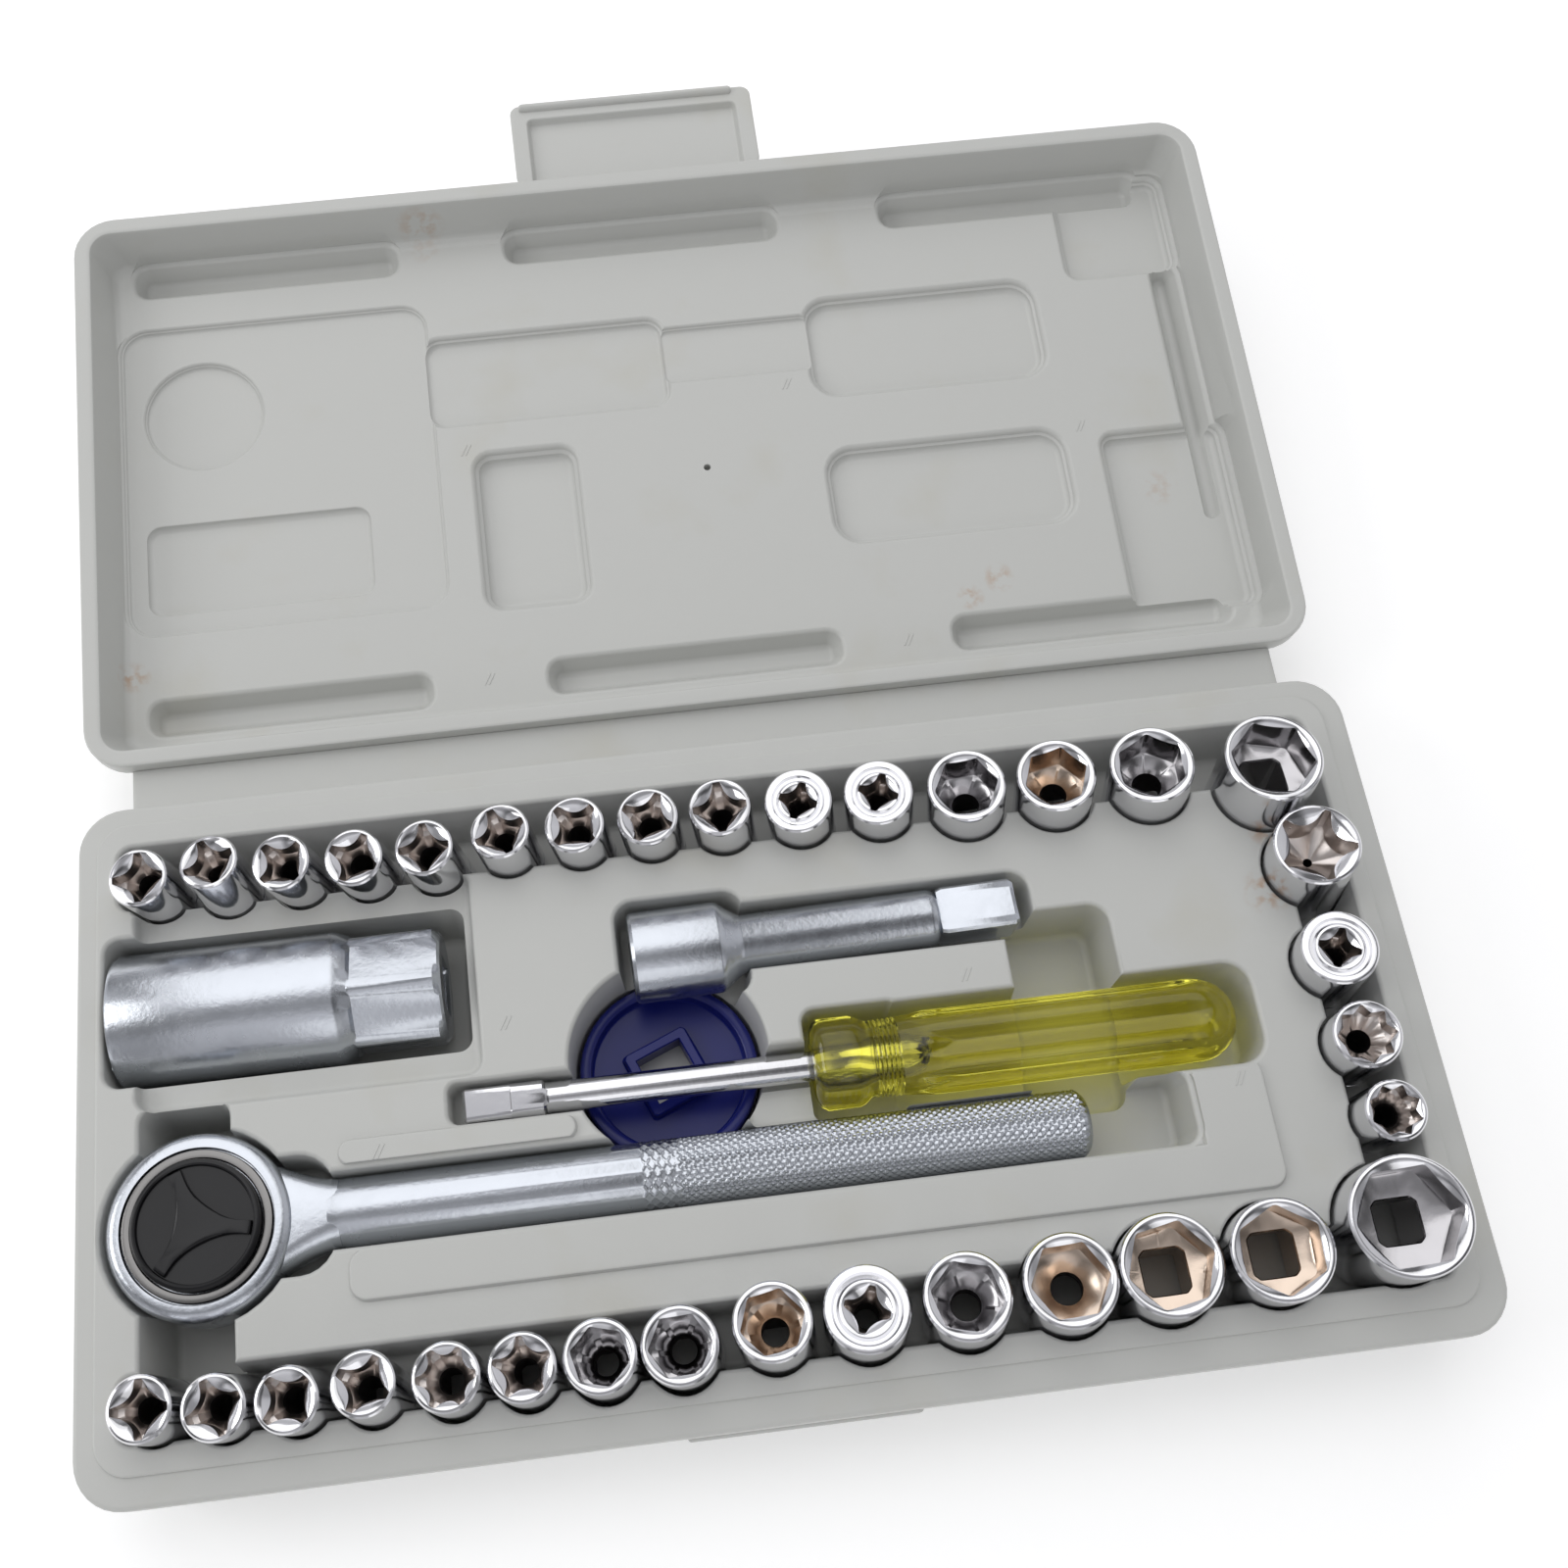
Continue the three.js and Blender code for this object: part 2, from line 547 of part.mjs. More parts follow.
function reversingCap() {
  const cap = toSolid(turned([[0, 3.7], [11.7, 3.7], [11.7, 8.2], [10.9, 8.8], [0, 8.8]], 32));
  const arms = [0, 1, 2].map((i) => {
    const arm = new THREE.BoxGeometry(10, 3, 2);
    arm.translate(5, 0, 9);
    arm.rotateZ((i * 2 * Math.PI) / 3);
    return toSolid(arm);
  });
  return join([cap, ...arms]);
}

place(ratchet, "reversing_cap", toGeometry(reversingCap()), BLACK);

// ---------------------------------------------------------------- extension bar

const extension = new THREE.Group();
extension.position.set(EXTENSION.x, EXTENSION.y, EXTENSION.z);
extension.rotation.z = THREE.MathUtils.degToRad(EXTENSION.turn);
set.add(extension);

const DRIVE_LENGTH = 16;

function extensionBar() {
  const { length, radius, headRadius } = EXTENSION;
  const shoulder = length - DRIVE_LENGTH;
  const body = toSolid(turnedAlong([
    [0, 0], [headRadius - 0.8, 0], [headRadius, 0.8], [headRadius, 17.5], [headRadius - 0.8, 18.3],
    [radius, 22], [radius, shoulder], [radius - 1, shoulder + 1], [0, shoulder + 1],
  ]));
  const square = prismAlong(THREE_EIGHTHS_DRIVE - 0.1, 4, shoulder - 1, length);
  const socketHole = prismAlong(THREE_EIGHTHS_DRIVE, 4, -1, 12);
  const ballHole = toSolid(new THREE.CylinderGeometry(1.8, 1.8, 8, 10).translate(length - 6, 2, 0));
  return body.add(square).subtract(socketHole).subtract(ballHole);
}

place(extension, "extension_bar", toGeometry(extensionBar()), ZINC);
const extensionBallX = EXTENSION.length - 6;
const extensionBall = new THREE.SphereGeometry(1.6, 8, 6).translate(extensionBallX, 3.9, 0);
place(extension, "extension_ball", extensionBall, CHROME);
const extensionSpring = spring(1.2, -1.6, 2, 3, 0.22).translate(extensionBallX, 0, 0);
place(extension, "extension_ball_spring", extensionSpring, ZINC);

// ---------------------------------------------------------------- spinner

const spinner = new THREE.Group();
spinner.position.set(SPINNER.x, SPINNER.y, SPINNER.z);
set.add(spinner);

const SHAFT_END = 90;
const GRIP_START = 67.3;
const GRIP_BUTT = 150.7;

function spinnerShaft() {
  const r = SPINNER.shaftRadius;
  const barProfile = [[0, 8], [r, 8], [r, SHAFT_END - 4], [r - 1.4, SHAFT_END], [0, SHAFT_END]];
  const bar = toSolid(turnedAlong(barProfile, 14));
  const collar = toSolid(turnedAlong([[0, 9], [3.4, 9], [3.4, 15], [3, 15.6], [0, 15.6]], 14));
  const square = prismAlong(QUARTER_DRIVE - 0.15, 4, 0, 9.5);
  const ballHole = toSolid(new THREE.CylinderGeometry(1.15, 1.15, 5, 10).translate(5, 1, 0));
  return join([bar, collar, square]).subtract(ballHole);
}

place(spinner, "spinner_shaft", toGeometry(spinnerShaft()), CHROME);
place(spinner, "spinner_ball", new THREE.SphereGeometry(1, 8, 6).translate(5, 2.7, 0), CHROME);
place(spinner, "spinner_ball_spring", spring(0.7, -1.2, 1.5, 3, 0.16).translate(5, 0, 0), ZINC);

function spinnerGrip() {
  const { collarRadius, gripRadius } = SPINNER;
  const body = toSolid(turnedAlong([
    [0, GRIP_START], [7, GRIP_START], [collarRadius, 69], [collarRadius, 75.5], [7.3, 78], [7.3, 86],
    [gripRadius, 92], [gripRadius, GRIP_BUTT - 6], [gripRadius - 2, GRIP_BUTT - 1.5], [4, GRIP_BUTT],
    [0, GRIP_BUTT],
  ]));
  const flutes = [0, 1, 2, 3, 4, 5].map((i) => {
    const flute = new THREE.CylinderGeometry(2.4, 2.4, 48, 10);
    flute.rotateZ(Math.PI / 2);
    flute.translate(117, 0, gripRadius + 1.5);
    flute.rotateX((i * Math.PI) / 3);
    return toSolid(flute);
  });
  const bore = toSolid(turnedAlong([
    [0, GRIP_START - 1], [SPINNER.shaftRadius + GAP, GRIP_START - 1],
    [SPINNER.shaftRadius + GAP, SHAFT_END + GAP], [0, SHAFT_END + GAP],
  ], 14));
  return body.subtract(join(flutes)).subtract(bore);
}

place(spinner, "spinner_grip", toGeometry(spinnerGrip()), AMBER);

// ---------------------------------------------------------------- plug socket and thumb wheel

const plugSocket = new THREE.Group();
plugSocket.position.set(PLUG_SOCKET.x, PLUG_SOCKET.y, PLUG_SOCKET.z);
set.add(plugSocket);

function plugSocketBody() {
  const { length, radius, flats } = PLUG_SOCKET;
  const barrelEnd = 43;
  const barrel = toSolid(turnedAlong([
    [0, 0], [radius - 1, 0], [radius, 1], [radius, barrelEnd], [radius - 1.8, barrelEnd + 3.5],
    [0, barrelEnd + 3.5],
  ], 28));
  const nose = toSolid(turnedAlong([
    [0, barrelEnd], [radius - 0.2, barrelEnd], [radius - 0.2, length - 1.5],
    [radius - 2, length], [0, length],
  ], 28)).intersect(prismAlong(flats, 6, barrelEnd - 1, length + 1, Math.PI / 6));
  const plugHole = prismAlong(20.8, 6, -1, 48, Math.PI / 6);
  const squareHole = prismAlong(THREE_EIGHTHS_DRIVE, 4, 40, length + 1);
  return barrel.add(nose).subtract(plugHole).subtract(squareHole);
}

place(plugSocket, "plug_socket", toGeometry(plugSocketBody()), ZINC);
const insertProfile = [[6.3, 22], [9.9, 22], [9.9, 34], [6.3, 34], [6.3, 22]];
place(plugSocket, "plug_socket_insert", turnedAlong(insertProfile, 20), RUBBER);

function thumbWheel() {
  const { radius, height } = WHEEL;
  const dish = toSolid(turned([
    [0, 0], [radius, 0], [radius, height - 0.6], [radius - 0.6, height], [radius - 2, height],
    [radius - 2.4, 4], [0, 4],
  ], 36));
  const frame = toSolid(prism(14.6, 4, 1, height - 0.3, Math.PI / 4));
  return dish.add(frame).subtract(toSolid(prism(THREE_EIGHTHS_DRIVE, 4, -1, height + 1, Math.PI / 4)));
}

const wheel = place(set, "thumb_wheel", toGeometry(thumbWheel()), BLUE);
wheel.position.set(WHEEL.x, WHEEL.y, WHEEL.z);
wheel.rotation.z = THREE.MathUtils.degToRad(WHEEL.turn);

export default set;
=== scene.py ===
# %% [markdown]
# # A socket wrench set in its moulded case
# The real object is a blow-moulded case of grey plastic that holds 34 sockets, a ratchet, an
# extension bar, a spinner handle, a spark plug socket and a blue thumb wheel.
#
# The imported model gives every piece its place. This lesson dresses that model: each cell makes one
# family of pieces from a short formula, rides them on their bodies and prints what it made.
# Lengths are in millimetres inside the formulas and in metres in the meshes.

# %% Load the fixed frame
import json
import math

import bmesh
import bpy
import numpy as np
from mathutils import Matrix, Quaternion, Vector


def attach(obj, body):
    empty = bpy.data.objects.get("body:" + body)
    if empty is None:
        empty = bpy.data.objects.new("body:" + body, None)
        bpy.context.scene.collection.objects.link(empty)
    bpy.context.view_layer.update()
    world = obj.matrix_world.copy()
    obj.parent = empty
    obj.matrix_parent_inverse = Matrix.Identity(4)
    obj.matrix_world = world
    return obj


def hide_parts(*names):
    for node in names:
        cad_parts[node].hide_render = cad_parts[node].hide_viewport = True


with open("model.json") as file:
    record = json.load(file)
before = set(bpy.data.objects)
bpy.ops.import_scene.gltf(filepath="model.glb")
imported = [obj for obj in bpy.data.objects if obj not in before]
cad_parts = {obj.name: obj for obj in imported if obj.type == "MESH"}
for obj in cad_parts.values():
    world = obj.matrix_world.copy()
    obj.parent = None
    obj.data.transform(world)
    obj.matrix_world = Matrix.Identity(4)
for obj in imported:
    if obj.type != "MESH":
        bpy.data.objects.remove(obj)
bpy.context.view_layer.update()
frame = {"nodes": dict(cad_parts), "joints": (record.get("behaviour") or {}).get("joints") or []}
MM = 0.001

# %% [markdown]
# Sockets, handles and mouldings could be boxes and cylinders with bevels, but their profiles carry
# most of the look. So meshes come from grids instead: a row of the grid is one closed section, and
# neighbouring rows are joined by quads. A whole socket or handle is then one list of sections.

# %% Mesh helpers
def skin(sections, wrap=False):
    """Joins closed sections, an array [row, point, xyz], with quads. wrap joins the last row to the
    first, for a body with a hole right through; otherwise both ends are closed by one flat face."""
    sections = np.asarray(sections, float)
    rows, cols = sections.shape[:2]
    index = np.arange(rows * cols).reshape(rows, cols)
    upper = np.roll(index, -1, 0) if wrap else index[1:]
    lower = index if wrap else index[:-1]
    quads = np.stack([lower, np.roll(lower, -1, 1), np.roll(upper, -1, 1), upper], -1)
    faces = quads.reshape(-1, 4).tolist()
    if not wrap:
        faces += [index[0][::-1].tolist(), index[-1].tolist()]
    return sections.reshape(-1, 3), faces


def joined(parts):
    """One vertex list and one face list from several."""
    vertices, faces, start = [], [], 0
    for v, f in parts:
        vertices.append(v)
        faces += [[start + i for i in face] for face in f]
        start += len(v)
    return np.concatenate(vertices), faces


def make_object(name, part, matrix=Matrix(), sharp=32):
    """A mesh object at the origin whose points, in millimetres, are carried by matrix and scaled to
    metres. Edges that turn by more than sharp degrees stay crisp and the rest are shaded smooth."""
    points, faces = part
    m = np.array(matrix)
    points = (points @ m[:3, :3].T + m[:3, 3]) * MM
    mesh = bpy.data.meshes.new(name)
    mesh.from_pydata(points.tolist(), [], faces)
    bm = bmesh.new()
    bm.from_mesh(mesh)
    bmesh.ops.remove_doubles(bm, verts=bm.verts, dist=1e-7)
    bmesh.ops.recalc_face_normals(bm, faces=bm.faces)
    bm.to_mesh(mesh)
    bm.free()
    mesh.shade_smooth()
    mesh.set_sharp_from_angle(angle=math.radians(sharp))
    obj = bpy.data.objects.new(name, mesh)
    bpy.context.scene.collection.objects.link(obj)
    return obj


def dress(obj, material, body, nodes=()):
    """Gives a piece its material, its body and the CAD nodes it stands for."""
    obj.data.materials.clear()
    obj.data.materials.append(material)
    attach(obj, body)
    if nodes:
        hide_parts(*nodes)
    return obj


def carve(base, others, operation="DIFFERENCE"):
    """Cuts or joins solids with the boolean modifier and keeps the result as a plain mesh."""
    base.modifiers.clear()
    for other in others:
        modifier = base.modifiers.new("cut", "BOOLEAN")
        modifier.solver = "MANIFOLD"
        modifier.operation = operation
        modifier.object = other
    evaluated = base.evaluated_get(bpy.context.evaluated_depsgraph_get())
    mesh = bpy.data.meshes.new_from_object(evaluated)
    base.modifiers.clear()
    base.data = mesh
    for other in others:
        bpy.data.objects.remove(other)
    mesh.shade_smooth()
    mesh.set_sharp_from_angle(angle=math.radians(32))
    even = base.modifiers.new("even normals", "WEIGHTED_NORMAL")
    even.keep_sharp = True
    return base


def angles(count):
    """Evenly spaced angles round a full turn."""
    return np.arange(count) * 2 * math.pi / count


def ngon(flats, sides, turn=0.0, corner=9.0):
    """The radius of a polygon of that size across flats at each angle: the half size divided by the
    cosine of the angle from the middle of the nearest flat. corner rounds it off at that multiple."""
    step = 2 * math.pi / sides
    def radius(theta):
        off = (theta - turn + step / 2) % step - step / 2
        return np.minimum(flats / 2 / np.cos(off), flats / 2 * corner)
    return radius


def bitten(waist, tip, points, turn=0.0, far=None):
    """The radius of a blunt star: a disc of radius tip with that many round bites reaching in to the
    waist. A bite's circle has its centre at far from the middle and radius far - waist. Unless it is
    given, far is chosen so that the tangent from the middle is as long as the tip's radius."""
    far = far or (tip * tip / waist + waist) / 2
    step = 2 * math.pi / points
    def radius(theta):
        off = (theta - turn + step / 2) % step - step / 2
        under = (far - waist) ** 2 - (far * np.sin(off)) ** 2
        return np.where(under > 0, np.minimum(tip, far * np.cos(off) - np.sqrt(np.maximum(under, 0))), tip)
    return radius


def lathe(stations, count=48):
    """Sections round +Z from (height, radius) pairs. Either may be a number or a function of angle."""
    theta = angles(count)
    rows = []
    for z, r in stations:
        z, r = (v(theta) if callable(v) else np.full(count, float(v)) for v in (z, r))
        rows.append(np.stack([r * np.cos(theta), r * np.sin(theta), z], 1))
    return np.array(rows)


def rounded(x0, x1, y0, y1, radius, steps=6):
    """The outline of a rectangle with round corners, counter-clockwise."""
    r = min(radius, (x1 - x0) / 2 - 0.01, (y1 - y0) / 2 - 0.01)
    r = max(r, 0.05)
    turn = np.linspace(0, math.pi / 2, steps + 1)
    corners = [(x1 - r, y1 - r, 0), (x0 + r, y1 - r, 1), (x0 + r, y0 + r, 2), (x1 - r, y0 + r, 3)]
    return np.concatenate([
        np.stack([cx + r * np.cos(turn + q * math.pi / 2), cy + r * np.sin(turn + q * math.pi / 2)], 1)
        for cx, cy, q in corners])


def layer(outline, z):
    """An outline lifted to height z."""
    return np.column_stack([outline, np.full(len(outline), float(z))])


def flared(floor, top, fillet=1.5, flare=1.0, draft=3.0):
    """The profile of a pressed pocket as (height, offset) pairs: a quarter-round at the foot, a
    drafted wall, and a lip that rolls outward until it lies level with the face round the pocket."""
    depth = top - floor
    fillet, flare = min(fillet, depth * 0.45), min(flare, depth * 0.45)
    lean = math.tan(math.radians(draft))
    quarter = np.linspace(0, math.pi / 2, 5)
    foot = [(floor + fillet * (1 - math.cos(a)), -lean * depth - fillet * (1 - math.sin(a))) for a in quarter]
    lip = [(top - flare + flare * math.sin(a), flare * (1 - math.cos(a))) for a in quarter]
    return foot + lip[:-1] + [(top + 0.02, flare), (top + 9, flare)]


def pocket(name, box, top, **shape):
    """A solid for cutting a round-cornered pocket, box being x from and to, y from and to, floor
    height and corner radius."""
    x0, x1, y0, y1, floor, radius = (*box, 3)[:6]
    rows = [layer(rounded(x0 - o, x1 + o, y0 - o, y1 + o, radius + o), z)
            for z, o in flared(floor, top, **shape)]
    return make_object(name, skin(rows))


def well(name, x, y, radius, floor, top, slope=(0.0, 0.0), count=40, **shape):
    """A round pocket whose centre moves by slope for each millimetre of height above the top face."""
    rows = lathe([(z, radius + o) for z, o in flared(floor, top, **shape)], count)
    drop = np.minimum(rows[:, :, 2], top) - top
    rows[:, :, 0] += x + slope[0] * drop
    rows[:, :, 1] += y + slope[1] * drop
    return make_object(name, skin(rows))


print("profile helpers", [f.__name__ for f in (skin, lathe, ngon, bitten, rounded, pocket, well)])

# %% [markdown]
# ## Finishes
# No plastic or plating is perfectly even. Three effects give that unevenness: drift varies the
# gloss, grain raises a fine texture, and patches tint soft areas. They could be repeated in every
# material, but a node group built once keeps them alike, and each material gives its own values.

# %% Shared surface effects
def effect(name, inputs, output):
    """An empty node group with float, vector or colour inputs and one output."""
    group = bpy.data.node_groups.new(name, "ShaderNodeTree")
    for label, kind, value in inputs:
        socket = group.interface.new_socket(label, in_out="INPUT", socket_type=kind)
        socket.default_value = value
    group.interface.new_socket(output[0], in_out="OUTPUT", socket_type=output[1])
    return group, group.nodes.new("NodeGroupInput"), group.nodes.new("NodeGroupOutput")


def noise(tree, scale, detail):
    """A noise texture on object coordinates whose scale is a number or another node's output."""
    place, cloud = tree.nodes.new("ShaderNodeTexCoord"), tree.nodes.new("ShaderNodeTexNoise")
    cloud.inputs["Detail"].default_value = detail
    tree.links.new(place.outputs["Object"], cloud.inputs["Vector"])
    if isinstance(scale, (int, float)):
        cloud.inputs["Scale"].default_value = scale
    else:
        tree.links.new(scale, cloud.inputs["Scale"])
    return cloud.outputs["Fac"]


# Drift: roughness wanders between two values with a broad noise.
NUMBER, COLOUR = "NodeSocketFloat", "NodeSocketColor"
drift, given, result = effect(
    "drift", [("Scale", NUMBER, 100), ("Low", NUMBER, 0.3), ("High", NUMBER, 0.4)], ("Roughness", NUMBER))
ramp = drift.nodes.new("ShaderNodeMapRange")
drift.links.new(noise(drift, given.outputs["Scale"], 6), ramp.inputs["Value"])
drift.links.new(given.outputs["Low"], ramp.inputs["To Min"])
drift.links.new(given.outputs["High"], ramp.inputs["To Max"])
drift.links.new(ramp.outputs["Result"], result.inputs["Roughness"])

# Grain: fine noise raised by a fraction of a millimetre.
grain, given, result = effect(
    "grain", [("Scale", NUMBER, 400), ("Strength", NUMBER, 0.1)], ("Normal", "NodeSocketVector"))
raised = grain.nodes.new("ShaderNodeBump")
raised.inputs["Distance"].default_value = 0.0003
grain.links.new(noise(grain, given.outputs["Scale"], 4), raised.inputs["Height"])
grain.links.new(given.outputs["Strength"], raised.inputs["Strength"])
grain.links.new(raised.outputs["Normal"], result.inputs["Normal"])

# Patches: a second colour shows where a slow noise is high.
PATCH_SCALE = 38
patches, given, result = effect(
    "patches", [("Clean", COLOUR, (1, 1, 1, 1)), ("Stained", COLOUR, (0, 0, 0, 1)),
                ("Scale", NUMBER, PATCH_SCALE)], ("Color", COLOUR))
edge = patches.nodes.new("ShaderNodeMapRange")
edge.inputs["From Min"].default_value = 0.58
edge.inputs["From Max"].default_value = 0.8
mix = patches.nodes.new("ShaderNodeMix")
mix.data_type = "RGBA"
patches.links.new(noise(patches, given.outputs["Scale"], 5), edge.inputs["Value"])
patches.links.new(edge.outputs["Result"], mix.inputs["Factor"])
patches.links.new(given.outputs["Clean"], mix.inputs["A"])
patches.links.new(given.outputs["Stained"], mix.inputs["B"])
patches.links.new(mix.outputs["Result"], result.inputs["Color"])
print("effects", [g.name for g in bpy.data.node_groups])

# %% [markdown]
# The case is soft grey plastic, the sockets are bright chrome over nickel, some with a coppery tint
# inside, and the larger tools are satin zinc. The handle is clear yellow acetate. Each could have its
# own hand-made tree, but one function makes them all, so related pieces differ only in numbers.

# %% Materials
def place_group(tree, group, **values):
    """One copy of an effect in a material's tree, with its own values."""
    node = tree.nodes.new("ShaderNodeGroup")
    node.node_tree = group
    for label, value in values.items():
        node.inputs[label].default_value = value
    return node


def material(name, color, rough, metal=0.0, bump=0.0, scale=400.0, stain=None, transmission=0.0,
             spread=0.0):
    """A Principled material. The drift effect moves the roughness by spread, the grain effect raises
    the surface by bump, and the patches effect adds soft spots of the stain's colour."""
    made = bpy.data.materials.new(name)
    made.use_nodes = True
    tree = made.node_tree
    shader = tree.nodes["Principled BSDF"]
    shader.inputs["Base Color"].default_value = (*color, 1)
    shader.inputs["Metallic"].default_value = metal
    shader.inputs["Roughness"].default_value = rough
    shader.inputs["Transmission Weight"].default_value = transmission
    if spread:
        low, high = max(0.02, rough - spread), rough + spread
        node = place_group(tree, drift, Scale=scale * 0.25, Low=low, High=high)
        tree.links.new(node.outputs["Roughness"], shader.inputs["Roughness"])
    if bump:
        node = place_group(tree, grain, Scale=scale, Strength=bump)
        tree.links.new(node.outputs["Normal"], shader.inputs["Normal"])
    if stain:
        node = place_group(tree, patches, Clean=(*color, 1), Stained=(*stain, 1), Scale=PATCH_SCALE)
        tree.links.new(node.outputs["Color"], shader.inputs["Base Color"])
    return made


shell = material("case plastic", (0.545, 0.55, 0.53), 0.42, bump=0.1, scale=900, spread=0.06,
                 stain=(0.52, 0.515, 0.47))
chrome = material("chrome plate", (0.72, 0.72, 0.74), 0.12, 1.0, bump=0.05, scale=700, spread=0.05)
copper = material("coppered plate", (0.62, 0.51, 0.42), 0.24, 1.0, bump=0.08, scale=700, spread=0.06)
lining = material("thin plate inside", (0.66, 0.61, 0.58), 0.3, 1.0, bump=0.08, scale=700, spread=0.07)
zinc = material("satin zinc plate", (0.54, 0.565, 0.605), 0.25, 1.0, bump=0.16, scale=900, spread=0.09,
                stain=(0.4, 0.42, 0.46))
# A hexagon mouth's walls are the same chrome plate; their darker colour is painted shade.
hex_wall_shade = material("hexagon walls darkened as painted shade", (0.46, 0.45, 0.46), 0.17, 1.0, bump=0.06, scale=700,
                    spread=0.07)
# The near black in a socket's bore is painted shade, standing for the shade deep inside it.
bore_painted_shade = material("painted shade in a bore", (0.1, 0.09, 0.09), 0.5, 1.0, spread=0.08)
ring_steel = material("steel ring", (0.22, 0.215, 0.21), 0.26, 1.0, spread=0.08)
black = material("black plastic", (0.006, 0.006, 0.007), 0.26, bump=0.05, spread=0.05)
rubber = material("black rubber", (0.015, 0.015, 0.015), 0.8, bump=0.1, spread=0.08)
blue = material("blue plastic", (0.007, 0.012, 0.16), 0.3, bump=0.06, spread=0.05)
amber = material("clear yellow acetate", (0.96, 0.89, 0.1), 0.04, transmission=1.0)
amber.node_tree.nodes["Principled BSDF"].inputs["IOR"].default_value = 1.47
for dull in (black, blue):
    dull.node_tree.nodes["Principled BSDF"].inputs["Specular IOR Level"].default_value = 0.35
print("materials", len(bpy.data.materials))

# %% [markdown]
# Wet sockets have left faint brown marks on the plastic. They could be painted on an unwrapped
# surface, but a few balls in space need no unwrapping: a mark is strongest at the middle of its ball,
# fades out at the reach, and is broken up by fine noise.

# %% Rust marks on the plastic
RUST = (0.42, 0.25, 0.14, 1)
# Each mark is a centre in millimetres and a reach.
RUST_MARKS = [((104.4, 21, 24), 5.5), ((106.5, 34, 24), 4), ((-52, 200, 27), 7), ((28, 199, 27), 4),
              ((109, 122, 16.5), 7), ((61, 99, 13.5), 3.5), ((68, 103, 14), 4), ((-122, 101, 13.6), 4)]
tree = shell.node_tree
place = tree.nodes.new("ShaderNodeTexCoord")
marked = None
for centre, reach in RUST_MARKS:
    away = tree.nodes.new("ShaderNodeVectorMath")
    away.operation = "DISTANCE"
    away.inputs[1].default_value = [c * MM for c in centre]
    near = tree.nodes.new("ShaderNodeMapRange")
    near.inputs["From Min"].default_value = reach * MM
    near.inputs["From Max"].default_value = 0
    tree.links.new(place.outputs["Object"], away.inputs[0])
    tree.links.new(away.outputs["Value"], near.inputs["Value"])
    if marked is None:
        marked = near.outputs["Result"]
    else:
        most = tree.nodes.new("ShaderNodeMath")
        most.operation = "MAXIMUM"
        tree.links.new(marked, most.inputs[0])
        tree.links.new(near.outputs["Result"], most.inputs[1])
        marked = most.outputs["Value"]
speck = tree.nodes.new("ShaderNodeMapRange")
speck.inputs["From Min"].default_value = 0.44
speck.inputs["From Max"].default_value = 0.62
tree.links.new(noise(tree, 450, 6), speck.inputs["Value"])
strength = tree.nodes.new("ShaderNodeMath")
strength.operation = "MULTIPLY"
tree.links.new(marked, strength.inputs[0])
tree.links.new(speck.outputs["Result"], strength.inputs[1])
mix = tree.nodes.new("ShaderNodeMix")
mix.data_type = "RGBA"
shader = tree.nodes["Principled BSDF"]
tree.links.new(strength.outputs["Value"], mix.inputs["Factor"])
tree.links.new(shader.inputs["Base Color"].links[0].from_socket, mix.inputs["A"])
mix.inputs["B"].default_value = RUST
tree.links.new(mix.outputs["Result"], shader.inputs["Base Color"])
print("rust marks", len(RUST_MARKS))

# %% [markdown]
# ## Case
# The real halves are blown from one tube of hot plastic, so nothing on them is sharp: a pocket's
# lip rolls over and its foot is round. A box with bevelled booleans would bevel every edge alike.
# Here each cutter already has the rolled lip and the round foot in its profile, so the cut itself
# leaves the right edges.

# %% Case dimensions
# Heights of the tray's rim, its top face, its raised bars and the floor of its socket channel.
RIM, FACE, RIDGE, CHANNEL = 24.0, 24.8, 26.0, 7.7
WELL_GAP = 0.5
RATCHET = np.array([-107.0, -19.0, 19.0])
TRAY_POCKETS = [
    (-122, 121, 43.8, 57.2, CHANNEL), (109.8, 121.5, -50, 52, CHANNEL), (-122, 121, -55.6, -43.8, CHANNEL),
    (-118.5, -53, 3.4, 44.5, 20.6), (-124.6, -54.5, 8.6, 38.2, 2.9), (-118, -101, -46, 4, 2.2),
    (-100, -82, -30, -8, 11.7, 7), (-92, 80, -26.1, -11.9, 12.1), (-25, 0.5, 12.8, 34, 11.1, 4),
    (-6, 57.5, 17.6, 31.2, 14.3, 4), (-60, 12, -6, 2, 16.5, 2), (8.8, 28, -13, 8, 10.4, 2.5),
    (20, 96.7, -12.2, 7.6, 10.6, 5), (51, 72, -17, 22.5, 8, 4), (-4, 27, -12.6, -5, 17, 2),
]
RIDGES = [(-80, 94.5, -36.2, -26.5), (80.3, 94.5, -36.2, -11.0), (-81, -36, -11.5, -6.4)]
